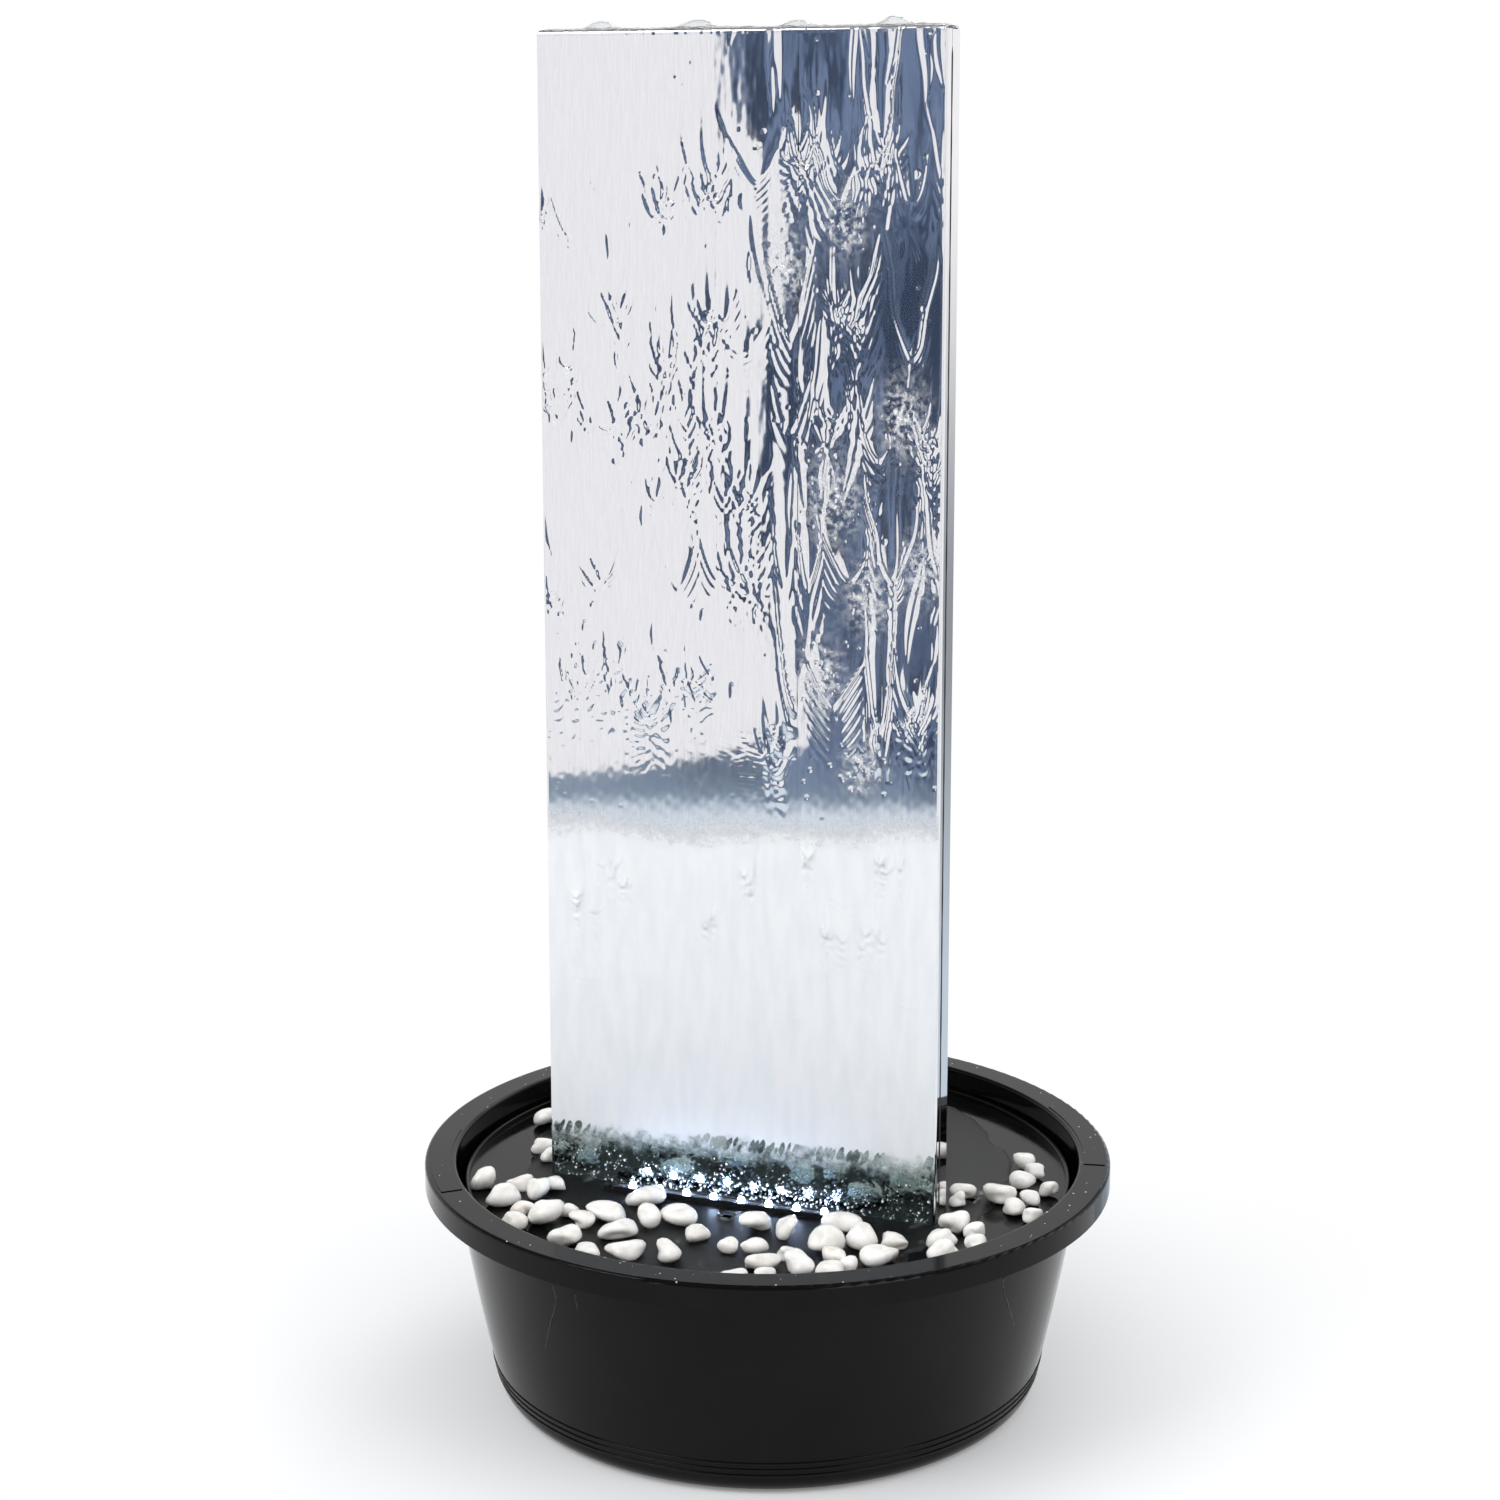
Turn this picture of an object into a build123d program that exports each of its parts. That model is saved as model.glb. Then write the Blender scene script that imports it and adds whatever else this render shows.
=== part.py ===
from build123d import *
import os
from math import cos, radians, sin

# A water wall: a hollow stainless panel that stands on the deck of a round plastic basin.
# A pump in the basin lifts water inside the panel to a trough along its top, and the water
# runs down both faces, over the deck and its pebbles, and back into the basin.
# Millimetres, +Z up, origin on the floor under the middle of the basin, panel front to -Y.

# Basin
rim_diameter = 514.0
rim_width = 23.5
rim_skirt = 17.5
rim_edge_round = 2.5
basin_height = 177.0
basin_wall = 3.0
basin_wall_bulge = 1.6
base_diameter = 380.0
base_corner_width = 15.5
base_corner_height = 14.0
base_corner_bulge = 4.0
base_lift = 3.0
standing_ring_width = 14.0
floor_corner_width = 5.2
wall_bead_radius = 0.9
wall_bead_heights = (16.0, 21.0, 26.0)
grip_middles = (26.0, 206.0)
grip_sweep = 30.0
grip_inset = 4.0
grip_rise = 0.6

# Deck
deck_recess = 18.0
deck_thickness = 3.0
deck_edge_gap = 4.0
deck_lip_width = 3.0
deck_lip_height = 3.0
deck_lip_round = 1.0
rib_count = 8
rib_thickness = 2.5
rib_depth = 10.0
rib_inner_radius = 45.0
rib_edge_gap = 8.0
rib_ring_radius = 118.0
drain_diameter = 11.0
drain_side_reach = 11.5
drain_side_back = 40.0
drain_front_reach = 16.5
drain_front_offset = 4.0
drain_rear_spread = 70.0
drain_rear_reach = 105.0
lead_notch_width = 16.0
lead_notch_depth = 10.0
leg_count = 6
leg_circle_radius = 150.0
leg_diameter = 20.0
leg_wall = 2.0
leg_foot_diameter = 28.0
leg_foot_thickness = 3.0
leg_socket_wall = 2.5
leg_socket_depth = 14.0
leg_clearance = 0.1

# Panel
panel_width = 300.0
panel_height = 842.0
panel_depth = 30.0
panel_y = -48.5
sheet = 1.0
bend_radius = 2.2
front_return = 9.0
seam_gap = 0.6
top_lip = 6.0
panel_fit = 0.3
seat_gap = 0.3
seam_strip_sheet = 1.0
seam_strip_end_gap = 8.0
trough_depth = 46.0
stiffener_count = 3
stiffener_flange = 14.0
stiffener_end_gap = 6.0
bracket_end_gap = 15.0
bracket_height = 40.0
bracket_sheet = 1.5
bracket_screw_end = 35.0
bracket_screw_inner = 45.0

# Water line
hose_inner_diameter = 12.2
hose_wall = 1.9
hose_fit = 0.1
hose_clearance = 2.0
hose_engagement = 16.0
fitting_wall = 1.5
spray_diameter = 12.0
spray_end_gap = 15.0
spray_floor_gap = 7.0
spray_outlet_diameter = 4.0
spray_outlet_count = 4
spray_outlet_end = 27.0
spray_cap_length = 9.0
tee_length = 26.0
tee_wall = 2.4
seal_flange = 3.0
seal_flange_thickness = 1.5
seal_wall = 1.8
clip_band = 1.4
clip_width = 8.0
clip_ear = 6.0
clip_ear_gap = 2.0

# Light bar
lamp_count = 8
lamp_pitch = 21.3
lamp_diameter = 5.0
lamp_body_height = 3.7
light_x = -3.5
light_reach = 14.0
light_width = 9.0
light_height = 5.0
light_end_margin = 11.0
light_wall = 1.2
light_fit = 0.2
board_thickness = 1.0
fill_drop = 0.6
cap_thickness = 3.0
cap_ear_length = 12.0
cap_ear_thickness = 2.5

# Screws
screw_clearance = 0.2
bracket_screw_diameter = 4.0
light_screw_diameter = 3.0
screw_head_ratio = 2.0
screw_head_height = 2.4
screw_head_round = 0.8
screw_reach = 5.0
screw_boss_wall = 2.5

# Pump
pump_shell = 2.7
pump_extra_width = 2.0
pump_corner = 6.0
motor_end = 14.5
volute_length = 14.0
volute_front = 4.0
strainer_length = 18.0
strainer_wall = 1.6
strainer_slot_width = 2.4
strainer_slot_pitch = 5.0
strainer_slot_height = 30.0
strainer_slot_count = 3
pump_foot_height = 8.0
pump_foot_diameter = 14.0
pump_foot_stem = 5.0
pump_foot_stem_length = 4.0
pump_foot_neck = 1.0
pump_foot_wall = 1.0
pump_foot_hollow = 4.0
pump_foot_spread = 32.0
pump_foot_inset = 9.0
gland_diameter = 11.0
gland_length = 8.0
lead_diameter = 6.0
nozzle_length = 26.0
nozzle_barb_rise = 0.5
nozzle_barb_length = 4.0
rotor_diameter = 17.6
rotor_length = 28.0
rotor_gap = 0.7
rotor_end_gap = 1.0
shaft_diameter = 2.5
shaft_clearance = 0.05
bush_wall = 1.6
bush_length = 4.0
spider_spoke = 2.4
spider_wall = 1.8
impeller_diameter = 30.0
impeller_disc = 1.5
impeller_gap = 1.5
hub_diameter = 7.0
hub_clearance = 0.05
vane_count = 6
vane_height = 6.0
vane_thickness = 1.6
vane_arc_radius = 12.0
inlet_diameter = 15.0
pump_seal_section = 1.6
pump_seal_land = 1.2

# Flow dial on the strainer
dial_diameter = 27.0
dial_thickness = 2.4
dial_gap = 0.2
dial_stub_diameter = 6.0
dial_stub_clearance = 0.06
dial_bar_width = 4.0
dial_bar_height = 5.0
window_count = 3
window_sweep = 42.0
window_width = 4.0
window_radius = 8.2

# Pebbles: length, width and height of each grade
pebble_grades = (
    (29.0, 19.0, 12.5), (24.0, 18.0, 13.5), (19.0, 15.0, 11.0), (14.5, 12.0, 10.5), (24.0, 21.0, 18.0),
    (18.0, 16.5, 15.0),
)
pebble_blunt_end = 0.44
pebble_rest_gap = 0.2
pebble_panel_gap = 1.0
pebble_bed_reach = 21.0
# Each pebble: percent of the bed's radius across, percent of the way from just before the light
# bar out to the deck's lip (less than nothing behind that), grade, turn
pebble_spots = (
    (-83, 16, 5, 20), (-71, 11, 2, 10), (-71, 33, 1, 45), (-61, 44, 2, -20), (-62, 20, 5, 110),
    (-60, 7, 2, -50), (-51, 50, 4, 75), (-46, 38, 3, 0), (-39, 47, 2, 15), (-59, 60, 2, 30),
    (-38, 73, 1, 30), (-27, 85, 2, 10), (-34, 35, 0, 5), (-25, 54, 0, 40), (-16, 77, 0, 35),
    (-27, 8, 0, 20), (-19, 35, 5, 110), (-11, 27, 0, -12), (0, 44, 2, 40), (-3, 71, 1, -45),
    (12, 53, 3, 20), (14, 22, 1, 30), (20, 49, 2, 5), (27, 68, 1, 10), (22, 89, 2, 15),
    (30, 80, 3, 40), (25, 24, 5, 60), (31, 51, 3, 10), (38, 64, 1, -30), (40, 35, 4, 45),
    (40, 6, 0, 15), (50, 25, 4, -20), (46, 47, 2, 0), (48, 65, 2, 10), (59, 40, 0, 50),
    (52, 55, 3, 60), (73, 10, 1, 55), (74, -13, 1, 65), (81, -8, 3, 60), (84, 8, 2, 90),
    (77, 25, 1, 45), (69, -57, 2, 15), (69, -45, 3, 110), (81, -57, 1, -15), (88, -46, 2, -50),
    (91, -60, 3, 10), (95, -38, 3, 60), (81, -109, 2, -15), (87, -97, 3, 25), (85, -82, 2, 0),
    (95, -75, 3, 20), (-87, -82, 1, 70), (-77, -42, 2, 15), (-72, -31, 3, 40), (60, 20, 2, 10),
)

# Worked-out sizes
rim_radius = rim_diameter / 2
mouth_radius = rim_radius - rim_width
base_radius = base_diameter / 2
corner_radius = base_radius + base_corner_width
flange_under = basin_height - basin_wall
wall_top_radius = mouth_radius + basin_wall
floor_level = base_lift + basin_wall
deck_level = basin_height - deck_recess
panel_foot = deck_level + seat_gap
panel_top = panel_foot + panel_height
panel_front = panel_y - panel_depth / 2
panel_inner_depth = panel_depth - 2 * sheet
inner_fit_depth = panel_inner_depth - 2 * panel_fit
inner_fit_width = panel_width - 2 * sheet - 2 * panel_fit
deck_under = deck_level - deck_thickness
hose_outer_diameter = hose_inner_diameter + 2 * hose_wall
hose_hole_diameter = hose_outer_diameter + 2 * hose_clearance
stem_diameter = hose_inner_diameter - 2 * hose_fit
stem_bore = stem_diameter - 2 * fitting_wall
bracket_length = panel_width - 2 * bracket_end_gap
spray_length = panel_width - 2 * spray_end_gap
spray_outlet_pitch = (spray_length - 2 * spray_outlet_end) / (spray_outlet_count - 1)
light_y = panel_front - light_reach
light_length = (lamp_count - 1) * lamp_pitch + 2 * light_end_margin
light_screw_spread = light_length + 2 * cap_thickness + cap_ear_length
board_level = deck_level + light_wall + board_thickness
channel_inner = light_width - 2 * light_wall - 2 * light_fit


def wall_radius(height):
    """Outer radius of the basin's wall at a height above its bottom corner."""
    rise = (height - base_corner_height) / (flange_under - base_corner_height)
    straight = corner_radius + (wall_top_radius - corner_radius) * rise
    return straight + 4 * basin_wall_bulge * rise * (1 - rise)


deck_radius = wall_radius(deck_level) - basin_wall - deck_edge_gap


def upright(angle):
    """A vertical plane through the basin's axis, turned from +X."""
    turn = radians(angle)
    return Plane(origin=(0, 0, 0), x_dir=(cos(turn), sin(turn), 0), z_dir=(sin(turn), -cos(turn), 0))


def corner_at(sketch, across, up):
    """The corner of a sketch nearest to a point of its plane."""
    return sketch.vertices().sort_by_distance((across, up, 0))[0]


# Basin: one moulding, tapered wall, flat flange with a turned-down skirt, standing ring below
with BuildPart() as basin:
    with BuildSketch(Plane.XZ) as section:
        with BuildLine():
            ring_inner = base_radius - standing_ring_width
            Polyline((0, floor_level), (0, base_lift), (ring_inner, base_lift), (ring_inner + base_lift, 0),
                     (base_radius, 0))
            SagittaArc((base_radius, 0), (corner_radius, base_corner_height), -base_corner_bulge)
            SagittaArc((corner_radius, base_corner_height), (wall_top_radius, flange_under), -basin_wall_bulge)
            skirt_inner = rim_radius - basin_wall
            skirt_low = basin_height - rim_skirt
            Polyline((wall_top_radius, flange_under), (skirt_inner, flange_under), (skirt_inner, skirt_low),
                     (rim_radius, skirt_low), (rim_radius, basin_height), (mouth_radius, basin_height),
                     (mouth_radius, flange_under))
            inner_corner = corner_radius - basin_wall
            SagittaArc((mouth_radius, flange_under), (inner_corner, base_corner_height), basin_wall_bulge)
            floor_edge = base_radius + floor_corner_width
            Polyline((inner_corner, base_corner_height), (floor_edge, floor_level), (0, floor_level))
        make_face()
        fillet(corner_at(section, rim_radius, basin_height), rim_edge_round)
        fillet(corner_at(section, mouth_radius, basin_height), rim_edge_round)
        with Locations(*[(wall_radius(height), height) for height in wall_bead_heights]):
            Circle(wall_bead_radius)
    revolve(axis=Axis.Z)
    for middle in grip_middles:
        with BuildSketch(upright(middle - grip_sweep / 2)):
            with Locations((mouth_radius + rim_width / 2, basin_height)):
                Rectangle(rim_width - 2 * grip_inset, 2 * grip_rise)
        revolve(axis=Axis.Z, revolution_arc=grip_sweep)

# Deck: a dished tray with a lip, ribs and leg sockets below, drains and a notch for the leads
drain_spots = (
    (drain_front_offset, light_y - light_width / 2 - drain_front_reach),
    (panel_width / 2 + drain_side_reach, panel_y + drain_side_back),
    (-panel_width / 2 - drain_side_reach, panel_y + drain_side_back),
    (drain_rear_spread, drain_rear_reach),
    (-drain_rear_spread, drain_rear_reach),
)
bracket_screw_outer = bracket_length / 2 - bracket_screw_end
bracket_screw_spots = [(side * offset, panel_y) for side in (-1, 1)
                       for offset in (bracket_screw_inner, bracket_screw_outer)]
light_screw_spots = [(light_x + side * light_screw_spread / 2, light_y) for side in (-1, 1)]
rib_length = deck_radius - rib_edge_gap - rib_inner_radius

with BuildPart() as deck:
    with BuildSketch(Plane.XZ) as section:
        with BuildLine():
            lip_top = deck_level + deck_lip_height
            lip_inner = deck_radius - deck_lip_width
            Polyline((0, deck_under), (deck_radius, deck_under), (deck_radius, lip_top), (lip_inner, lip_top),
                     (lip_inner, deck_level), (0, deck_level), close=True)
        make_face()
        fillet(corner_at(section, deck_radius, lip_top), deck_lip_round)
        fillet(corner_at(section, lip_inner, lip_top), deck_lip_round)
    revolve(axis=Axis.Z)
    with BuildSketch(Plane.XY.offset(deck_under)):
        with PolarLocations(rib_inner_radius + rib_length / 2, rib_count, start_angle=180 / rib_count):
            Rectangle(rib_length, rib_thickness)
    extrude(amount=-rib_depth)
    with BuildSketch(Plane.XY.offset(deck_under)):
        Circle(rib_ring_radius + rib_thickness / 2)
        Circle(rib_ring_radius - rib_thickness / 2, mode=Mode.SUBTRACT)
    extrude(amount=-rib_depth)
    with BuildSketch(Plane.XY.offset(deck_under)):
        with PolarLocations(leg_circle_radius, leg_count, start_angle=180 / leg_count):
            Circle(leg_diameter / 2 + leg_clearance + leg_socket_wall)
    extrude(amount=-leg_socket_depth)
    with BuildSketch(Plane.XY.offset(deck_under)):
        with PolarLocations(leg_circle_radius, leg_count, start_angle=180 / leg_count):
            Circle(leg_diameter / 2 + leg_clearance)
    extrude(amount=-leg_socket_depth, mode=Mode.SUBTRACT)
    with BuildSketch(Plane.XY.offset(deck_under)):
        with Locations(*bracket_screw_spots):
            Circle(bracket_screw_diameter / 2 + screw_boss_wall)
        with Locations(*light_screw_spots):
            Circle(light_screw_diameter / 2 + screw_boss_wall)
    extrude(amount=-screw_reach)
    with BuildSketch(Plane.XY.offset(deck_level)):
        with Locations(*drain_spots):
            Circle(drain_diameter / 2)
        with Locations((0, panel_y)):
            Circle(hose_hole_diameter / 2)
        with Locations(*bracket_screw_spots):
            Circle((bracket_screw_diameter + screw_clearance) / 2)
        with Locations(*light_screw_spots):
            Circle((light_screw_diameter + screw_clearance) / 2)
    extrude(amount=-deck_thickness - screw_reach, mode=Mode.SUBTRACT)
    with BuildSketch(Plane.XY.offset(lip_top)):
        with Locations((0, deck_radius)):
            SlotOverall(2 * lead_notch_depth, lead_notch_width, rotation=90)
    extrude(amount=deck_under - lip_top, mode=Mode.SUBTRACT)

# Legs: tubes that plug into the deck's sockets and stand on the basin's floor
deck_legs = []
for index in range(leg_count):
    turn = radians((index + 0.5) * 360 / leg_count)
    leg_foot = (leg_circle_radius * cos(turn), leg_circle_radius * sin(turn), floor_level)
    with BuildPart() as leg:
        with BuildSketch(Plane(leg_foot)):
            Circle(leg_diameter / 2)
        extrude(amount=deck_under - floor_level)
        with BuildSketch(Plane(leg_foot)):
            Circle(leg_foot_diameter / 2)
        extrude(amount=leg_foot_thickness)
        with BuildSketch(Plane(leg_foot)):
            Circle(leg_diameter / 2 - leg_wall)
        extrude(amount=deck_under - floor_level, mode=Mode.SUBTRACT)
    deck_legs.append(leg.part)


def folded_shell(base, return_depth):
    """One half of the panel: a face with two side returns and a lip turned in along the top."""
    flat_half = panel_width / 2 - bend_radius
    fold_start = panel_height - bend_radius
    side = Plane(origin=base.from_local_coords((-flat_half, 0, 0)), x_dir=base.y_dir, z_dir=base.x_dir)
    with BuildPart() as shell:
        with BuildSketch(base):
            with BuildLine():
                FilletPolyline((-panel_width / 2, return_depth), (-panel_width / 2, 0),
                               (panel_width / 2, 0), (panel_width / 2, return_depth), radius=bend_radius)
                offset(amount=sheet, side=Side.LEFT)
            make_face()
        extrude(amount=fold_start)
        with BuildSketch(side):
            with BuildLine():
                CenterArc((bend_radius, fold_start), bend_radius, 90, 90)
                CenterArc((bend_radius, fold_start), bend_radius - sheet, 90, 90)
                Line((0, fold_start), (sheet, fold_start))
                Polyline((bend_radius, panel_height), (top_lip, panel_height), (top_lip, panel_height - sheet),
                         (bend_radius, panel_height - sheet))
            make_face()
        extrude(amount=2 * flat_half)
    return shell.part


front_base = Plane(origin=(0, panel_front, panel_foot), x_dir=(1, 0, 0), z_dir=(0, 0, 1))
back_base = Plane(origin=(0, panel_front + panel_depth, panel_foot), x_dir=(-1, 0, 0), z_dir=(0, 0, 1))
front_shell = folded_shell(front_base, front_return)
back_shell = folded_shell(back_base, panel_depth - front_return - seam_gap)

# Trough: a folded tray under the panel's top lips, with a hole for the water inlet
trough_top = panel_top - bend_radius - panel_fit
trough_bottom = trough_top - trough_depth
trough_floor = trough_bottom + sheet
seal_hole_diameter = stem_diameter + 2 * hose_fit + 2 * seal_wall

with BuildPart() as trough:
    with BuildSketch(Plane((0, panel_y, trough_bottom))):
        RectangleRounded(inner_fit_width, inner_fit_depth, bend_radius)
    extrude(amount=trough_depth)
    with BuildSketch(Plane((0, panel_y, trough_floor))):
        RectangleRounded(inner_fit_width - 2 * sheet, inner_fit_depth - 2 * sheet, bend_radius - sheet)
    extrude(amount=trough_depth, mode=Mode.SUBTRACT)
    with BuildSketch(Plane((0, panel_y, trough_bottom))):
        Circle(seal_hole_diameter / 2)
    extrude(amount=sheet, mode=Mode.SUBTRACT)

# Strips inside the panel that join the two shells along the side seams
bracket_top = deck_level + bracket_height
strip_low = bracket_top + seam_strip_end_gap
strip_high = trough_bottom - seam_strip_end_gap
seam_y = panel_front + front_return + seam_gap / 2
seam_strip_width = 2 * (seam_y - panel_front - bend_radius - panel_fit)
seam_strips = []
for side in (-1, 1):
    strip_x = side * (panel_width / 2 - sheet - seam_strip_sheet / 2)
    with BuildPart() as seam_strip:
        with BuildSketch(Plane((strip_x, seam_y, strip_low))):
            Rectangle(seam_strip_sheet, seam_strip_width)
        extrude(amount=strip_high - strip_low)
    seam_strips.append(seam_strip.part)

# Stiffeners: channels across the panel that hold the faces apart and guide the hose
stiffener_length = panel_width - 2 * sheet - 2 * seam_strip_sheet - 2 * stiffener_end_gap
stiffener_pitch = (strip_high - strip_low) / (stiffener_count + 1)
stiffeners = []
for index in range(stiffener_count):
    web_level = strip_low + (index + 1) * stiffener_pitch
    end_plane = Plane(origin=(-stiffener_length / 2, panel_y, web_level), x_dir=(0, 1, 0), z_dir=(1, 0, 0))
    with BuildPart() as stiffener:
        with BuildSketch(end_plane):
            with BuildLine():
                half = inner_fit_depth / 2
                FilletPolyline((-half, stiffener_flange), (-half, 0), (half, 0), (half, stiffener_flange),
                               radius=bend_radius)
                offset(amount=sheet, side=Side.LEFT)
            make_face()
        extrude(amount=stiffener_length)
        with BuildSketch(Plane((0, panel_y, web_level))):
            Circle(hose_hole_diameter / 2)
        extrude(amount=sheet, mode=Mode.SUBTRACT)
    stiffeners.append(stiffener.part)

# Foot bracket: a channel screwed to the deck, which the hollow panel drops over
with BuildPart() as foot_bracket:
    bracket_end = Plane(origin=(-bracket_length / 2, panel_y, deck_level), x_dir=(0, 1, 0), z_dir=(1, 0, 0))
    with BuildSketch(bracket_end):
        with BuildLine():
            half = inner_fit_depth / 2
            FilletPolyline((-half, bracket_height), (-half, 0), (half, 0), (half, bracket_height),
                           radius=bend_radius)
            offset(amount=bracket_sheet, side=Side.LEFT)
        make_face()
    extrude(amount=bracket_length)
    with BuildSketch(Plane.XY.offset(deck_level)):
        with Locations((0, panel_y)):
            Circle(hose_hole_diameter / 2)
        with Locations(*bracket_screw_spots):
            Circle((bracket_screw_diameter + screw_clearance) / 2)
    extrude(amount=bracket_sheet, mode=Mode.SUBTRACT)


def pan_screws(spots, seat, diameter, length):
    """A set of pan-head screws with their heads on one level."""
    with BuildPart() as screws:
        with BuildSketch(Plane.XY.offset(seat)):
            with Locations(*spots):
                Circle(diameter * screw_head_ratio / 2)
        extrude(amount=screw_head_height)
        fillet(screws.edges().group_by(Axis.Z)[-1], screw_head_round)
        with BuildSketch(Plane.XY.offset(seat)):
            with Locations(*spots):
                Circle(diameter / 2)
        extrude(amount=-length)
    return screws.part


foot_screws = pan_screws(bracket_screw_spots, deck_level + bracket_sheet, bracket_screw_diameter,
                         bracket_sheet + deck_thickness + screw_reach)

# Spray bar: a capped tube in the trough with outlets along its top
spray_z = trough_floor + spray_floor_gap + spray_diameter / 2
tee_outer = spray_diameter + 2 * hose_fit + 2 * tee_wall
stem_low = trough_bottom - seal_flange_thickness - hose_engagement - clip_width
spray_start = Plane(origin=(-spray_length / 2, panel_y, spray_z), x_dir=(0, 1, 0), z_dir=(1, 0, 0))

with BuildPart() as spray_bar:
    with BuildSketch(spray_start):
        Circle(spray_diameter / 2)
        Circle(spray_diameter / 2 - fitting_wall, mode=Mode.SUBTRACT)
    extrude(amount=spray_length)
    with BuildSketch(Plane((0, panel_y, spray_z))):
        with GridLocations(spray_outlet_pitch, 0, spray_outlet_count, 1):
            Circle(spray_outlet_diameter / 2)
    extrude(amount=spray_diameter, mode=Mode.SUBTRACT)
    with BuildSketch(Plane((0, panel_y, spray_z))):
        Circle(stem_bore / 2)
    extrude(amount=-spray_diameter, mode=Mode.SUBTRACT)

spray_caps = []
for side in (-1, 1):
    cap_end = side * (spray_length / 2 + fitting_wall)
    cap_plane = Plane(origin=(cap_end, panel_y, spray_z), x_dir=(0, 1, 0), z_dir=(-side, 0, 0))
    cap_bore = spray_diameter / 2 + hose_fit
    with BuildPart() as spray_cap:
        with BuildSketch(cap_plane):
            Circle(cap_bore + fitting_wall)
        extrude(amount=spray_cap_length)
        with BuildSketch(cap_plane.offset(fitting_wall)):
            Circle(cap_bore)
        extrude(amount=spray_cap_length, mode=Mode.SUBTRACT)
        fillet(spray_cap.faces().sort_by(Axis((0, 0, 0), (side, 0, 0)))[-1].edges(), fitting_wall / 2)
    spray_caps.append(spray_cap.part)

# Tee: a sleeve round the middle of the spray bar with a stem down through the trough's floor
with BuildPart() as tee_fitting:
    with BuildSketch(spray_start.offset((spray_length - tee_length) / 2)):
        Circle(tee_outer / 2)
    extrude(amount=tee_length)
    with BuildSketch(Plane((0, panel_y, stem_low))):
        Circle(stem_diameter / 2)
    extrude(amount=spray_z - stem_low)
    with BuildSketch(spray_start.offset((spray_length - tee_length) / 2)):
        Circle(spray_diameter / 2 + hose_fit)
    extrude(amount=tee_length, mode=Mode.SUBTRACT)
    with BuildSketch(Plane((0, panel_y, stem_low))):
        Circle(stem_bore / 2)
    extrude(amount=spray_z - stem_low, mode=Mode.SUBTRACT)

# Seal: a rubber grommet in the trough's floor round the stem
with BuildPart() as trough_seal:
    with BuildSketch(Plane((0, panel_y, trough_bottom - seal_flange_thickness))):
        Circle(seal_hole_diameter / 2)
    extrude(amount=sheet + 2 * seal_flange_thickness)
    for flange_level in (trough_bottom - seal_flange_thickness, trough_floor):
        with BuildSketch(Plane((0, panel_y, flange_level))):
            Circle(seal_hole_diameter / 2 + seal_flange)
        extrude(amount=seal_flange_thickness)
    with BuildSketch(Plane((0, panel_y, trough_bottom - seal_flange_thickness))):
        Circle(stem_diameter / 2 + hose_fit)
    extrude(amount=sheet + 2 * seal_flange_thickness, mode=Mode.SUBTRACT)

# Pump sizes from the impeller outwards
cavity_radius = impeller_diameter / 2 + impeller_gap
seal_radius = cavity_radius + pump_seal_land
pump_height = 2 * (seal_radius + pump_seal_section + pump_shell)
pump_width = pump_height + pump_extra_width

# Riser hose: straight down inside the panel, from the tee's stem to the pump's nozzle
pump_base = floor_level + pump_foot_height
pump_axis = pump_base + pump_height / 2
nozzle_top = pump_base + pump_height + nozzle_length
hose_low = nozzle_top - hose_engagement
hose_high = stem_low + hose_engagement

with BuildPart() as riser_hose:
    with BuildSketch(Plane((0, panel_y, hose_low))):
        Circle(hose_outer_diameter / 2)
        Circle(hose_inner_diameter / 2, mode=Mode.SUBTRACT)
    extrude(amount=hose_high - hose_low)

# Hose clip: a sprung band with two ears round the top of the hose
with BuildPart() as hose_clip:
    clip_level = hose_high - hose_engagement / 2 - clip_width / 2
    band_inner = hose_outer_diameter / 2 + hose_fit
    with BuildSketch(Plane((0, panel_y, clip_level))):
        Circle(band_inner + clip_band)
        ear_end = band_inner + clip_ear
        Rectangle(ear_end, clip_ear_gap + 2 * clip_band, align=(Align.MIN, Align.CENTER))
        Circle(band_inner, mode=Mode.SUBTRACT)
        Rectangle(ear_end, clip_ear_gap, align=(Align.MIN, Align.CENTER), mode=Mode.SUBTRACT)
    extrude(amount=clip_width)

# Light bar: a channel on the deck with a board of lamps cast into clear resin
light_start = Plane(origin=(light_x - light_length / 2, light_y, deck_level), x_dir=(0, 1, 0), z_dir=(1, 0, 0))

with BuildPart() as light_channel:
    with BuildSketch(light_start):
        with Locations((0, light_height / 2)):
            Rectangle(light_width, light_height)
        with Locations((0, light_height / 2 + light_wall)):
            Rectangle(light_width - 2 * light_wall, light_height, mode=Mode.SUBTRACT)
    extrude(amount=light_length)

with BuildPart() as light_board:
    with BuildSketch(Plane((light_x, light_y, deck_level + light_wall))):
        Rectangle(light_length, channel_inner)
    extrude(amount=board_thickness)

with BuildPart() as light_lamps:
    with BuildSketch(Plane((light_x, light_y, board_level))):
        with GridLocations(lamp_pitch, 0, lamp_count, 1):
            Circle(lamp_diameter / 2)
    extrude(amount=lamp_body_height + lamp_diameter / 2)
    fillet(light_lamps.edges().group_by(Axis.Z)[-1], lamp_diameter / 2 - light_fit)

with BuildPart() as light_fill:
    with BuildSketch(Plane((light_x, light_y, board_level))):
        Rectangle(light_length, channel_inner)
        with GridLocations(lamp_pitch, 0, lamp_count, 1):
            Circle(lamp_diameter / 2 + light_fit / 2, mode=Mode.SUBTRACT)
    extrude(amount=deck_level + light_height - fill_drop - board_level)

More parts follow.
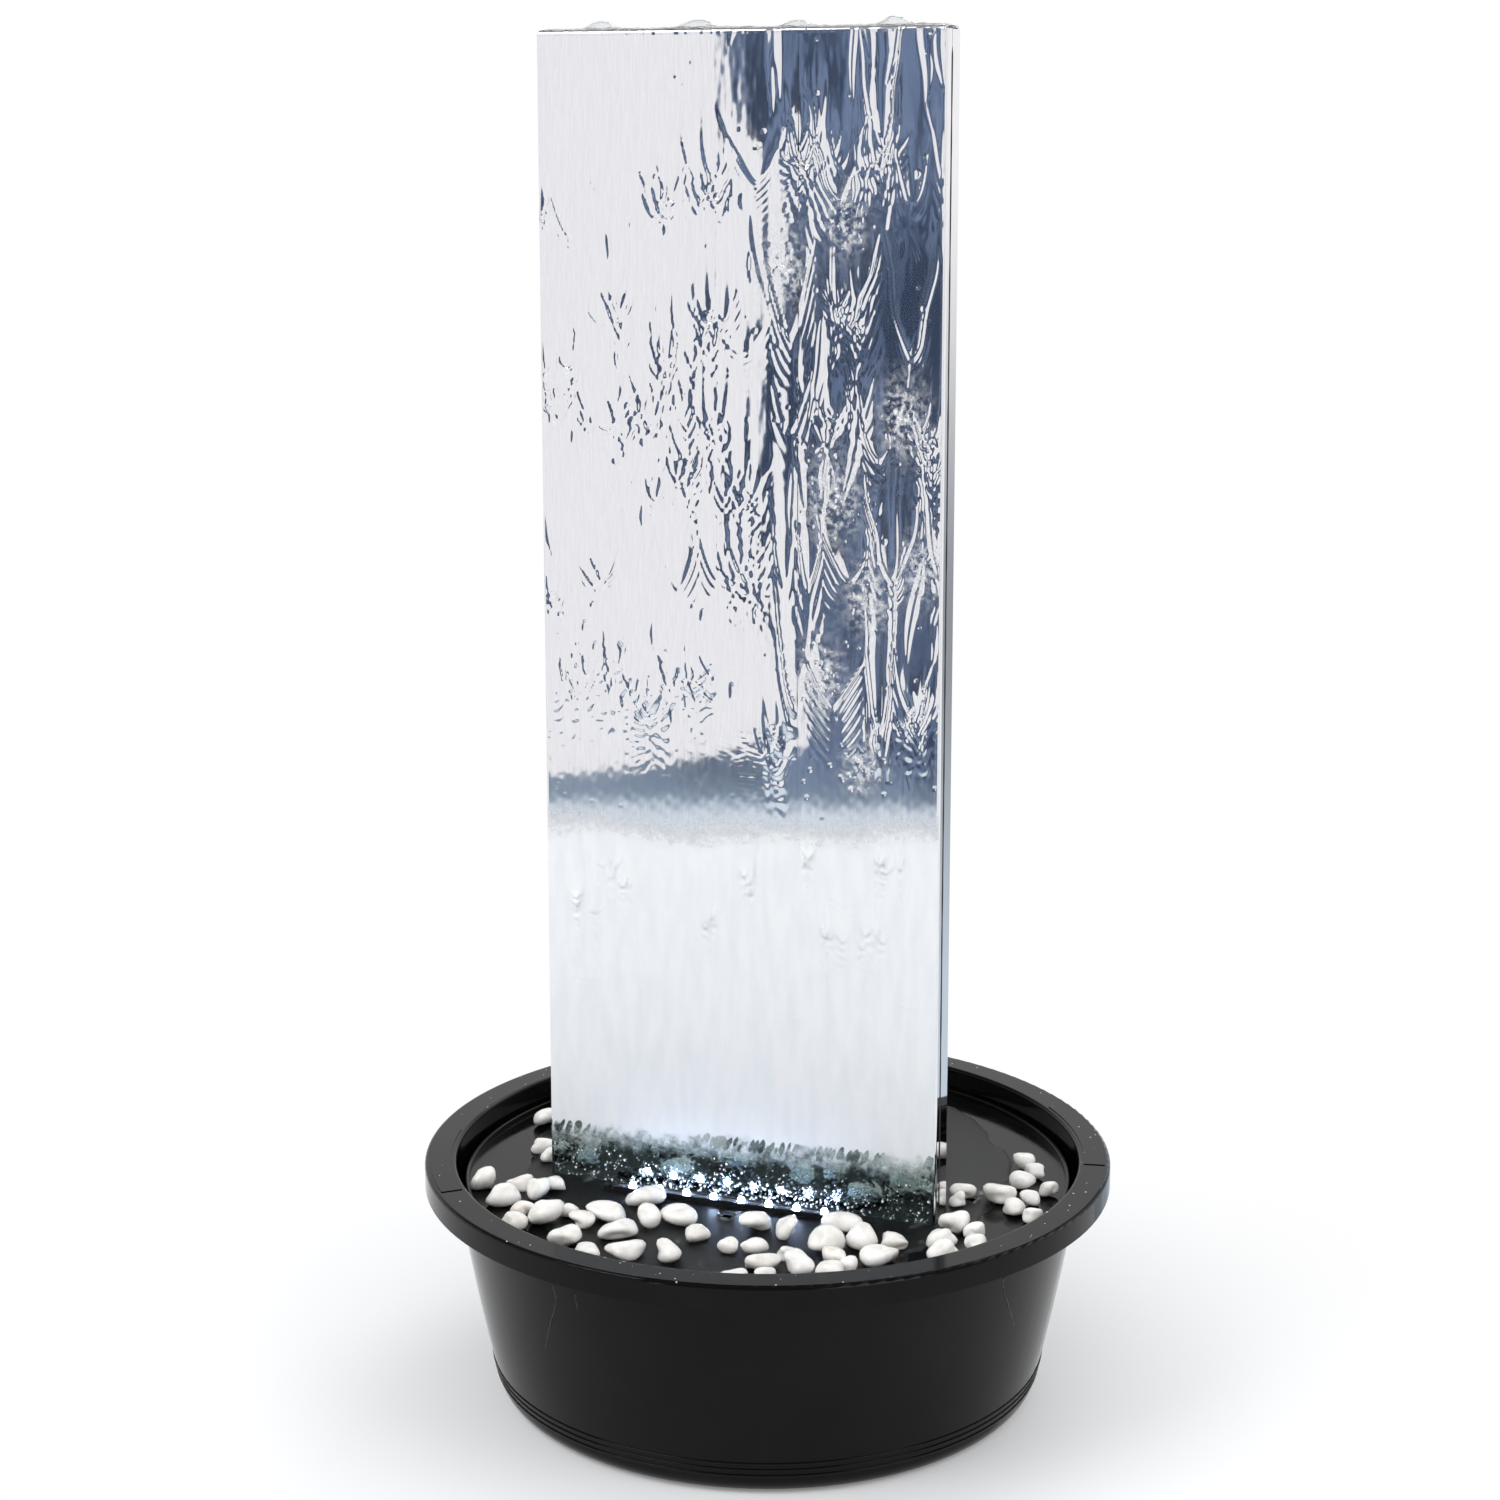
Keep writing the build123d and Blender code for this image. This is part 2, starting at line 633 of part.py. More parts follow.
light_caps = []
for side in (-1, 1):
    cap_x = light_x + side * (light_length / 2 + cap_thickness / 2)
    ear_x = light_x + side * light_screw_spread / 2
    with BuildPart() as light_cap:
        with BuildSketch(Plane((cap_x, light_y, deck_level))):
            Rectangle(cap_thickness, light_width)
        extrude(amount=light_height)
        with BuildSketch(Plane((ear_x, light_y, deck_level))):
            with Locations((side * -cap_ear_length / 4, 0)):
                Rectangle(cap_ear_length / 2, light_width)
            Circle(light_width / 2)
            Circle((light_screw_diameter + screw_clearance) / 2, mode=Mode.SUBTRACT)
        extrude(amount=cap_ear_thickness)
    light_caps.append(light_cap.part)

light_screws = pan_screws(light_screw_spots, deck_level + cap_ear_thickness, light_screw_diameter,
                          cap_ear_thickness + deck_thickness + screw_reach)


def cross_section(y):
    """A plane across the pump's axis, facing the front."""
    return Plane(origin=(0, y, pump_axis), x_dir=(1, 0, 0), z_dir=(0, -1, 0))


# Pump motor: a block with a blind well for the rotor, a lead gland behind and holes for its feet
motor_front = panel_y + volute_length / 2
volute_face = motor_front - volute_length
vane_front = volute_face + volute_front + rotor_end_gap
disc_back = vane_front + vane_height + impeller_disc
magnet_front = disc_back + rotor_end_gap
hub_back = magnet_front + rotor_length + rotor_end_gap
well_depth = hub_back + rotor_end_gap - motor_front
motor_length = well_depth + bush_length + motor_end
motor_back = motor_front + motor_length
bush_radius = shaft_diameter / 2 + bush_wall
pump_foot_spots = [(x, y) for x in (-pump_foot_spread / 2, pump_foot_spread / 2)
                   for y in (motor_front + pump_foot_inset, motor_back - pump_foot_inset)]

with BuildPart() as pump_motor:
    with BuildSketch(cross_section(motor_back)):
        RectangleRounded(pump_width, pump_height, pump_corner)
    extrude(amount=motor_length)
    fillet(pump_motor.faces().sort_by(Axis.Y)[-1].edges(), pump_corner / 2)
    with BuildSketch(cross_section(motor_back)):
        Circle(gland_diameter / 2)
    extrude(amount=-gland_length)
    with BuildSketch(cross_section(motor_back + gland_length)):
        Circle(lead_diameter / 2)
    extrude(amount=gland_length, mode=Mode.SUBTRACT)
    with BuildSketch(cross_section(motor_front)):
        Circle(rotor_diameter / 2 + rotor_gap)
    extrude(amount=-well_depth, mode=Mode.SUBTRACT)
    with BuildSketch(cross_section(motor_front + well_depth)):
        Circle(bush_radius)
    extrude(amount=-bush_length, mode=Mode.SUBTRACT)
    with BuildSketch(cross_section(motor_front)):
        Circle(seal_radius + pump_seal_section)
        Circle(seal_radius, mode=Mode.SUBTRACT)
    extrude(amount=-pump_seal_section, mode=Mode.SUBTRACT)
    with BuildSketch(Plane.XY.offset(pump_base)):
        with Locations(*pump_foot_spots):
            Circle(pump_foot_stem / 2)
    extrude(amount=pump_foot_stem_length, mode=Mode.SUBTRACT)

with BuildPart() as pump_seal:
    with BuildSketch(cross_section(motor_front)):
        Circle(seal_radius + pump_seal_section)
        Circle(seal_radius, mode=Mode.SUBTRACT)
    extrude(amount=-pump_seal_section)

# Suction feet under the motor
with BuildPart() as pump_feet:
    with BuildSketch(Plane.XY.offset(pump_base)):
        with Locations(*pump_foot_spots):
            Circle(pump_foot_stem / 2)
    extrude(amount=pump_foot_stem_length)
    with Locations(*[(x, y, floor_level) for x, y in pump_foot_spots]):
        Cone(pump_foot_diameter / 2, pump_foot_stem / 2 + pump_foot_neck, pump_foot_height,
             align=(Align.CENTER, Align.CENTER, Align.MIN))
        Cone(pump_foot_diameter / 2 - pump_foot_wall, pump_foot_stem / 2, pump_foot_hollow,
             align=(Align.CENTER, Align.CENTER, Align.MIN), mode=Mode.SUBTRACT)

# Volute: the pump's front, with the impeller's chamber, a spider for the shaft and the nozzle
with BuildPart() as pump_volute:
    with BuildSketch(cross_section(motor_front)):
        RectangleRounded(pump_width, pump_height, pump_corner)
    extrude(amount=volute_length)
    with BuildSketch(Plane((0, panel_y, pump_axis))):
        Circle(stem_diameter / 2 - nozzle_barb_rise)
    extrude(amount=nozzle_top - pump_axis)
    for barb in (1, 2):
        with Locations((0, panel_y, nozzle_top - barb * nozzle_barb_length)):
            Cone(stem_diameter / 2, stem_diameter / 2 - nozzle_barb_rise, nozzle_barb_length,
                 align=(Align.CENTER, Align.CENTER, Align.MIN))
    with BuildSketch(Plane((0, panel_y, pump_axis))):
        Circle(stem_bore / 2)
    extrude(amount=nozzle_top - pump_axis, mode=Mode.SUBTRACT)
    with BuildSketch(cross_section(motor_front)):
        Circle(cavity_radius)
    extrude(amount=volute_length - volute_front, mode=Mode.SUBTRACT)
    with BuildSketch(cross_section(volute_face + volute_front)):
        Circle(inlet_diameter / 2)
        Rectangle(spider_spoke, inlet_diameter, mode=Mode.SUBTRACT)
        Circle(bush_radius + spider_wall, mode=Mode.SUBTRACT)
    extrude(amount=volute_front, mode=Mode.SUBTRACT)
    with BuildSketch(cross_section(volute_face + volute_front)):
        Circle(bush_radius)
    extrude(amount=volute_front, mode=Mode.SUBTRACT)

# Shaft and its two rubber bushes
bush_front = volute_face
bush_rear = motor_front + well_depth

with BuildPart() as pump_shaft:
    with BuildSketch(cross_section(bush_rear + bush_length)):
        Circle(shaft_diameter / 2)
    extrude(amount=bush_rear + bush_length - bush_front)

pump_bushes = []
for start, length in ((bush_front, volute_front), (bush_rear, bush_length)):
    with BuildPart() as pump_bush:
        with BuildSketch(cross_section(start + length)):
            Circle(bush_radius)
            Circle(shaft_diameter / 2, mode=Mode.SUBTRACT)
        extrude(amount=length)
    pump_bushes.append(pump_bush.part)

# Rotor: curved vanes on a disc, with a long hub that carries the magnet
vane_reach = impeller_diameter / 2 - vane_thickness
vane_line = RadiusArc((hub_diameter / 2, 0), (vane_reach, 0), vane_arc_radius)

with BuildPart() as impeller:
    with BuildSketch(cross_section(disc_back)):
        Circle(impeller_diameter / 2)
    extrude(amount=impeller_disc)
    with BuildSketch(cross_section(vane_front + vane_height)):
        with PolarLocations(0, vane_count):
            SlotArc(vane_line, vane_thickness)
    extrude(amount=vane_height)
    with BuildSketch(cross_section(hub_back)):
        Circle(hub_diameter / 2)
    extrude(amount=hub_back - vane_front)
    with BuildSketch(cross_section(hub_back)):
        Circle(shaft_diameter / 2 + shaft_clearance)
    extrude(amount=hub_back - vane_front, mode=Mode.SUBTRACT)

with BuildPart() as rotor_magnet:
    with BuildSketch(cross_section(magnet_front + rotor_length)):
        Circle(rotor_diameter / 2)
        Circle(hub_diameter / 2 + hub_clearance, mode=Mode.SUBTRACT)
    extrude(amount=rotor_length)

# Strainer: a slotted cap over the pump's inlet, with curved windows in its face
strainer_front = volute_face - strainer_length
window_line = CenterArc((0, 0), window_radius, 90 - window_sweep / 2, window_sweep)
strainer_side = Plane((0, volute_face - strainer_length / 2, pump_axis), x_dir=(0, 1, 0), z_dir=(1, 0, 0))

with BuildPart() as pump_strainer:
    with BuildSketch(cross_section(volute_face)):
        RectangleRounded(pump_width, pump_height, pump_corner)
    extrude(amount=strainer_length)
    with BuildSketch(cross_section(volute_face)):
        RectangleRounded(pump_width - 2 * strainer_wall, pump_height - 2 * strainer_wall,
                         pump_corner - strainer_wall)
    extrude(amount=strainer_length - strainer_wall, mode=Mode.SUBTRACT)
    with BuildSketch(strainer_side):
        with GridLocations(strainer_slot_pitch, 0, strainer_slot_count, 1):
            SlotOverall(strainer_slot_height, strainer_slot_width, rotation=90)
    extrude(amount=pump_width, both=True, mode=Mode.SUBTRACT)
    with BuildSketch(cross_section(strainer_front + strainer_wall)):
        with PolarLocations(0, window_count):
            SlotArc(window_line, window_width)
        Circle(dial_stub_diameter / 2 + dial_stub_clearance)
    extrude(amount=strainer_wall, mode=Mode.SUBTRACT)

# Flow dial: a disc with the same windows, which a finger bar turns to close them
dial_back = strainer_front - dial_gap

with BuildPart() as flow_dial:
    with BuildSketch(cross_section(dial_back)):
        Circle(dial_diameter / 2)
        with PolarLocations(0, window_count):
            SlotArc(window_line, window_width, mode=Mode.SUBTRACT)
    extrude(amount=dial_thickness)
    with BuildSketch(cross_section(dial_back - dial_thickness)):
        Rectangle(dial_bar_width, 2 * window_radius - 2 * window_width)
    extrude(amount=dial_bar_height)
    with BuildSketch(cross_section(strainer_front + strainer_wall)):
        Circle(dial_stub_diameter / 2)
    extrude(amount=strainer_wall + dial_gap)


def pebble(length, width, height):
    """A flattened egg, lying on its side with its middle at the origin."""
    blunt = pebble_blunt_end * length
    half_width = width / 2
    shift = length / 2 - blunt
    with BuildPart() as stone:
        with BuildSketch(Plane.XY):
            with BuildLine():
                EllipticalCenterArc((shift, 0), blunt, half_width, start_angle=0, arc_size=90)
                EllipticalCenterArc((shift, 0), length - blunt, half_width, start_angle=90, arc_size=90)
                Line((shift - length + blunt, 0), (shift + blunt, 0))
            make_face()
        revolve(axis=Axis.X)
        scale(by=(1, 1, height / width))
    return stone.part


# Pebbles: loose on the deck round the light bar and at the panel's ends, none under the panel
bed_radius = deck_radius - deck_lip_width
bed_start = pebble_bed_reach - panel_front
bed_depth = bed_radius - bed_start
stones = [pebble(*grade) for grade in pebble_grades]
pebbles = []
for across, out, grade, turn in pebble_spots:
    rest = deck_level + pebble_rest_gap + pebble_grades[grade][2] / 2
    spot = (across / 100 * bed_radius, -bed_start - out / 100 * bed_depth, rest)
    stone = stones[grade].moved(Location(spot, (0, 0, turn)))
    reach = stone.bounding_box()
    beside = min(abs(reach.min.X), abs(reach.max.X)) > panel_width / 2 + pebble_panel_gap
    ahead = reach.max.Y < panel_front - pebble_panel_gap
    behind = reach.min.Y > panel_front + panel_depth + pebble_panel_gap
    if beside or ahead or behind:
        pebbles.append(stone)

pieces = {
    "basin": basin.part, "deck": deck.part, "foot_bracket": foot_bracket.part, "foot_screws": foot_screws,
    "front_shell": front_shell, "back_shell": back_shell, "trough": trough.part,
    "trough_seal": trough_seal.part, "spray_bar": spray_bar.part, "tee_fitting": tee_fitting.part,
    "riser_hose": riser_hose.part, "hose_clip": hose_clip.part, "light_channel": light_channel.part,
    "light_board": light_board.part, "light_lamps": light_lamps.part, "light_fill": light_fill.part,
    "light_screws": light_screws, "pump_motor": pump_motor.part, "pump_seal": pump_seal.part,
    "pump_feet": pump_feet.part, "pump_volute": pump_volute.part, "pump_shaft": pump_shaft.part,
    "impeller": impeller.part, "rotor_magnet": rotor_magnet.part, "pump_strainer": pump_strainer.part,
    "flow_dial": flow_dial.part, "pebbles": Compound(pebbles),
}
for index, part in enumerate(deck_legs, 1):
    pieces[f"deck_leg_{index}"] = part
for index, part in enumerate(stiffeners, 1):
    pieces[f"stiffener_{index}"] = part
for end, index in (("left", 0), ("right", 1)):
    pieces[f"seam_strip_{end}"] = seam_strips[index]
    pieces[f"spray_cap_{end}"] = spray_caps[index]
    pieces[f"light_cap_{end}"] = light_caps[index]
for end, part in zip(("front", "rear"), pump_bushes):
    pieces[f"pump_bush_{end}"] = part

os.makedirs("parts", exist_ok=True)
for name, part in pieces.items():
    part.label = name
    export_step(part, f"parts/{name}.step")
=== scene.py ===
import math
import bmesh
import bpy
import numpy as np
from mathutils import Matrix, Vector
from mathutils.bvhtree import BVHTree


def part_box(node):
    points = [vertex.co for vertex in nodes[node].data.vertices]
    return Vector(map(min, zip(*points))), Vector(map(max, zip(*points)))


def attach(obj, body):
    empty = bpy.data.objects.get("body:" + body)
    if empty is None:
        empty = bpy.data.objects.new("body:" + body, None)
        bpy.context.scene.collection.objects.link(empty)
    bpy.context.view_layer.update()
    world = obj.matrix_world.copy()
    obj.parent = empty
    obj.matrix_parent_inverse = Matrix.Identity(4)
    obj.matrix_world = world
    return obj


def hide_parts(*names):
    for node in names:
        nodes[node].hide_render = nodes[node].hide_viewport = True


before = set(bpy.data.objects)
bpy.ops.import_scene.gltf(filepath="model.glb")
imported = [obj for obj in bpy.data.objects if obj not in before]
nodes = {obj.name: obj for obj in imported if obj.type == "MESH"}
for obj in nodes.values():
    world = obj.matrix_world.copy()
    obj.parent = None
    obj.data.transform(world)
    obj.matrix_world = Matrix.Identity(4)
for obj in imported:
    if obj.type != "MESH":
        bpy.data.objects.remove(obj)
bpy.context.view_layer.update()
scene = bpy.context.scene
scene.view_settings.view_transform = "Standard"
mm = 0.001
softStep, inColour = {"interpolation_type": "SMOOTHSTEP"}, {"data_type": "RGBA"}  # of range and mix nodes
turnMost = 6.28  # radians, random phases are drawn up to this
print("frame:", len(nodes), "nodes")


def linear(hexColour):  # sRGB hex to linear colour
    shares = [int(hexColour[i:i + 2], 16) / 255 for i in (1, 3, 5)]
    return [c / 12.92 if c <= 0.04045 else ((c + 0.055) / 1.055) ** 2.4 for c in shares] + [1.0]


# inputs by name, or a list in the order of the sockets, such as value, from low, from high, to low and to high of a
# range; each one is a value, a socket or a node that gives its result
def feed(node, inputs):
    for name, value in inputs.items() if isinstance(inputs, dict) else enumerate(inputs):
        if isinstance(value, bpy.types.Node):
            value = value.outputs[2 if getattr(value, "data_type", "") == "RGBA" else 0]
        if isinstance(value, bpy.types.NodeSocket):
            node.id_data.links.new(value, node.inputs[name])
        else:
            node.inputs[name].default_value = value


def addNode(tree, kind, inputs=None, **settings):
    node = tree.nodes.new("ShaderNode" + kind)
    for name, value in settings.items():
        setattr(node, name, value)
    feed(node, inputs or {})
    return node


def emptyTree(owner):  # node tree of a new material or world
    owner.use_nodes = True
    owner.node_tree.nodes.clear()
    return owner.node_tree


def startMaterial(name, shaderInputs):
    material = bpy.data.materials.new(name)
    tree = emptyTree(material)
    coords = addNode(tree, "TexCoord").outputs["Object"]
    shader = addNode(tree, "BsdfPrincipled", shaderInputs)
    addNode(tree, "OutputMaterial", {"Surface": shader.outputs["BSDF"]})
    return material, tree, shader, coords


def perMm(size):  # texture scale for a pattern this many millimetres across
    return 1 / (size * mm)


def drawnOut(wide, long):  # the same for a pattern that is drawn out upwards
    return perMm(wide), perMm(wide), perMm(long)


def addObject(name, bm, material):
    mesh = bpy.data.meshes.new(name)
    bm.to_mesh(mesh)
    bm.free()
    mesh.materials.append(material)
    added = bpy.data.objects.new(name, mesh)
    scene.collection.objects.link(added)
    return added


def finishPiece(name, bm, material, body, sharpAngle=60):
    piece = addObject(name, bm, material)
    piece.data.polygons.foreach_set("use_smooth", [True] * len(piece.data.polygons))
    piece.data.set_sharp_from_angle(angle=math.radians(sharpAngle))
    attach(piece, body)
    return piece


# camera where the photograph was taken from
cameraSet = {
    "place": (0.65691, -1.85258, 0.92527),
    "pitch": 80.075, "yaw": 19.848, "roll": 0.03,  # degrees
    "lens": 65.62, "sensor": 36.0, "shift": (-0.0014, -0.0871),
}
camData = bpy.data.cameras.new("camera")
camData.lens, camData.sensor_width = cameraSet["lens"], cameraSet["sensor"]
camData.shift_x, camData.shift_y = cameraSet["shift"]
camera = bpy.data.objects.new("camera", camData)
camera.location = cameraSet["place"]
camera.rotation_euler = [math.radians(cameraSet[k]) for k in ("pitch", "roll", "yaw")]
scene.collection.objects.link(camera)
scene.camera = camera
print("camera set")


# pale sweep, white to the camera and in metal and water, with a dim ceiling above it
studioSet = {
    "backdrop": "#FFFFFF", "fill": 0.78, "ceiling": 0.30,
    "ceilingFrom": 0.10, "ceilingTo": 0.42,  # sine of the height above the horizon
    "backLight": 0.40,  # how far the white reaches up behind the object
    "floor": "#E4E5E7", "floorLift": 0.16, "floorSize": 30.0,
    "whiteFrom": 0.24, "whiteTo": 0.70,  # metres from the basin's middle
    "softboxes": (
        ((-1.5, -1.9, 2.5), 1.7, 40.0),  # place, size in metres, watts
        ((1.9, -0.6, 1.9), 1.2, 14.0),
        ((0.4, 2.2, 2.4), 1.5, 16.0),
    ),
    "aimAt": (0, 0, 0.5),
    "flag": "#7084A4", "flagEdge": "#2A3B56", "flagFoot": "#8598AA", "flagPale": "#E2EDF6",
    "flagGrain": (14, 14, 3), "flagClouds": (0.40, 0.60), "flagFootRange": (0.02, 0.13),
    "flagPlane": -1.69, "apronEdge": -1.40,
    "flagFade": 0.032, "fadeFrom": 0.049, "fadeClimb": 0.059,  # its foot fades along a slant
    "card": ("#FFFFFF", "#989EA3", "#CCD9E4"), "cardLevels": (0.92, 0.52, 0.16),  # from its top down, metres
    "cardWide": (0.20, 0.40), "cardTop": 1.1, "cardPlane": 0.35,
}

scene.world = bpy.data.worlds.new("studio")
tree = emptyTree(scene.world)
rays = addNode(tree, "LightPath")
direction = addNode(tree, "TexCoord").outputs["Generated"]
aim = addNode(tree, "SeparateXYZ", {"Vector": direction})
behind = addNode(tree, "Math", [aim.outputs["Y"], 0.0], operation="MAXIMUM")
height = addNode(tree, "Math", [behind, -studioSet["backLight"], aim.outputs["Z"]], operation="MULTIPLY_ADD")
ceiling = addNode(tree, "MapRange", [
    height, studioSet["ceilingFrom"], studioSet["ceilingTo"], 1.0, studioSet["ceiling"]], **softStep)
mirrored = addNode(tree, "Math", [rays.outputs["Is Glossy Ray"], rays.outputs["Is Transmission Ray"]],
                   operation="MAXIMUM")
seen = addNode(tree, "Mix", {0: mirrored, 2: studioSet["fill"], 3: ceiling})
strength = addNode(tree, "Mix", {0: rays.outputs["Is Camera Ray"], 2: seen, 3: 1.0})
background = addNode(tree, "Background", {"Color": linear(studioSet["backdrop"]), "Strength": strength})
addNode(tree, "OutputWorld", {"Surface": background})

floorMaterial = bpy.data.materials.new("paleSweep")  # matt painted sweep, lifted to white where it is open
tree = emptyTree(floorMaterial)
rays = addNode(tree, "LightPath")
shown = addNode(tree, "Math", [rays.outputs["Is Camera Ray"], rays.outputs["Is Glossy Ray"]], operation="MAXIMUM")
shown = addNode(tree, "Math", [shown, rays.outputs["Is Transmission Ray"]], operation="MAXIMUM")
lift = addNode(tree, "Math", [shown, studioSet["floorLift"]], operation="MULTIPLY")
paint = addNode(tree, "BsdfDiffuse", {"Color": linear(studioSet["floor"])})
glow = addNode(tree, "Emission", {"Strength": lift})
nearby = addNode(tree, "AddShader", {0: paint, 1: glow})
reach = addNode(tree, "VectorMath", {0: addNode(tree, "TexCoord").outputs["Object"]}, operation="LENGTH")
farShare = addNode(tree, "MapRange", [reach.outputs["Value"], studioSet["whiteFrom"], studioSet["whiteTo"]], **softStep)
share = addNode(tree, "Math", [farShare, shown], operation="MULTIPLY")
white = addNode(tree, "Emission", {"Strength": 1.0})
sweep = addNode(tree, "MixShader", {0: share, 1: nearby, 2: white})
addNode(tree, "OutputMaterial", {"Surface": sweep})

bm = bmesh.new()
bmesh.ops.create_grid(bm, x_segments=1, y_segments=1, size=studioSet["floorSize"])
floor = addObject("floor", bm, floorMaterial)

for index, (place, size, watts) in enumerate(studioSet["softboxes"]):
    lamp = bpy.data.lights.new(f"softbox{index}", "AREA")
    lamp.size, lamp.energy = size, watts
    box = bpy.data.objects.new(f"softbox{index}", lamp)
    box.location = place
    box.rotation_euler = (Vector(studioSet["aimAt"]) - Vector(place)).to_track_quat("-Z", "Y").to_euler()
    scene.collection.objects.link(box)

# slate flags stand off both faces of the panel, seen only in the wet steel: the outline is across and up, in metres
flagOutline = (
    (-0.18, 1.12), (-0.640, 1.12), (-0.613, 1.055), (-0.599, 0.939), (-0.523, 0.888), (-0.530, 0.771),
    (-0.556, 0.587), (-0.548, 0.318), (-0.486, 0.185), (-0.493, 0.118), (-0.652, 0.092), (-0.770, 0.066),
    (-0.960, 0.034), (-0.960, 0.002), (-0.18, 0.002),
)
flagMaterial = bpy.data.materials.new("slateFlag")  # glowing card, not lit cloth: its emitted blue-grey clouds, paler at its foot, are a painted reflection for the wet steel
tree = emptyTree(flagMaterial)
coords = addNode(tree, "TexCoord").outputs["Object"]
stretch = addNode(tree, "Mapping", {"Vector": coords, "Scale": studioSet["flagGrain"]})
cloud = addNode(tree, "TexNoise", {"Vector": stretch, "Scale": 1.0, "Detail": 5.0})
share = addNode(tree, "MapRange", [cloud, *studioSet["flagClouds"]])
slate = addNode(tree, "Mix", {0: share, 6: linear(studioSet["flag"]), 7: linear(studioSet["flagEdge"])}, **inColour)
place = addNode(tree, "SeparateXYZ", {"Vector": coords})
share = addNode(tree, "MapRange", [place.outputs["Z"], *studioSet["flagFootRange"]], **softStep)
slate = addNode(tree, "Mix", {0: share, 6: linear(studioSet["flagFoot"]), 7: slate}, **inColour)
aside = addNode(tree, "Math", [place.outputs["X"]], operation="ABSOLUTE")
slant = addNode(tree, "Math", [aside, studioSet["fadeClimb"], place.outputs["Z"]], operation="MULTIPLY_ADD")
share = addNode(tree, "MapRange", [
    slant, studioSet["fadeFrom"] + studioSet["flagFade"], studioSet["fadeFrom"]], **softStep)
slate = addNode(tree, "Mix", {0: share, 6: slate, 7: linear(studioSet["flagPale"])}, **inColour)
glow = addNode(tree, "Emission", {"Color": slate})
addNode(tree, "OutputMaterial", {"Surface": glow})
panelMiddle = sum(((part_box(n)[0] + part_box(n)[1]) / 2 for n in ("front_shell", "back_shell")), Vector()) / 2
for side, turn in (("front", 0), ("back", 180)):
    bm = bmesh.new()
    bm.faces.new([bm.verts.new((x, studioSet["flagPlane"], z)) for x, z in flagOutline])
    if side == "front":  # a pale apron on the floor before it
        (farLeft, level), (farRight, level) = flagOutline[-2:]
        apron = [(farLeft, "flagPlane"), (farRight, "flagPlane"), (farRight, "apronEdge"), (farLeft, "apronEdge")]
        bm.faces.new([bm.verts.new((x, studioSet[edge], level)) for x, edge in apron])
    bmesh.ops.rotate(bm, verts=bm.verts, cent=(panelMiddle.x, panelMiddle.y, 0),
                     matrix=Matrix.Rotation(math.radians(turn), 3, "Z"))
    flag = addObject(f"flag_{side}", bm, flagMaterial)
    flag.visible_camera = flag.visible_diffuse = flag.visible_glossy = flag.visible_shadow = False

# a card behind the tub, pale at both ends, seen only in the dry steel of the panel's right side
cardMaterial = bpy.data.materials.new("greyCard")  # glowing card, not matt: it gives off white at the top, grey in the middle and blue-white low down, a painted reflection for the panel's right side
tree = emptyTree(cardMaterial)
place = addNode(tree, "SeparateXYZ", {"Vector": addNode(tree, "TexCoord").outputs["Object"]})
top, middle, low = studioSet["cardLevels"]
lowShare = addNode(tree, "MapRange", [place.outputs["Z"], middle, low], **softStep)
topShare = addNode(tree, "MapRange", [place.outputs["Z"], middle, top], **softStep)
tones = [linear(tone) for tone in studioSet["card"]]
grey = addNode(tree, "Mix", {0: lowShare, 6: tones[1], 7: tones[2]}, **inColour)
grey = addNode(tree, "Mix", {0: topShare, 6: grey, 7: tones[0]}, **inColour)
glow = addNode(tree, "Emission", {"Color": grey})
addNode(tree, "OutputMaterial", {"Surface": glow})
bm = bmesh.new()
(left, right), high, back = studioSet["cardWide"], studioSet["cardTop"], studioSet["cardPlane"]
bm.faces.new([bm.verts.new((x, back, z)) for x, z in ((left, 0), (right, 0), (right, high), (left, high))])
card = addObject("card_side", bm, cardMaterial)
card.visible_camera = card.visible_diffuse = card.visible_transmission = card.visible_shadow = False
print("studio set")


# moulded black polypropylene: gloss with faint orange peel, haze from handling and fine scuffs
tubSet = {"black": "#060606", "worn": "#0D0C0C", "peelMm": 2.6, "hazeMm": 55}


def mouldedGloss(name, dark, worn, roughLow, roughHigh, peelMm, peelDepth, hazeMm, gloss=0.5):
    material, tree, shader, coords = startMaterial(name, {"IOR": 1.49, "Specular IOR Level": gloss})
    haze = addNode(tree, "TexNoise", {"Vector": coords, "Scale": perMm(hazeMm), "Detail": 4.0, "Roughness": 0.6})
    share = addNode(tree, "MapRange", [haze, 0.35, 0.7])
    colour = addNode(tree, "Mix", {0: share, 6: linear(dark), 7: linear(worn)}, **inColour)
    rough = addNode(tree, "MapRange", [haze, 0.3, 0.7, roughLow, roughHigh])
    peel = addNode(tree, "TexNoise", {"Vector": coords, "Scale": perMm(peelMm), "Detail": 2.0})
    bump = addNode(tree, "Bump", {"Height": peel, "Distance": peelDepth * mm})
    feed(shader, {"Base Color": colour, "Roughness": rough, "Normal": bump})
    return material


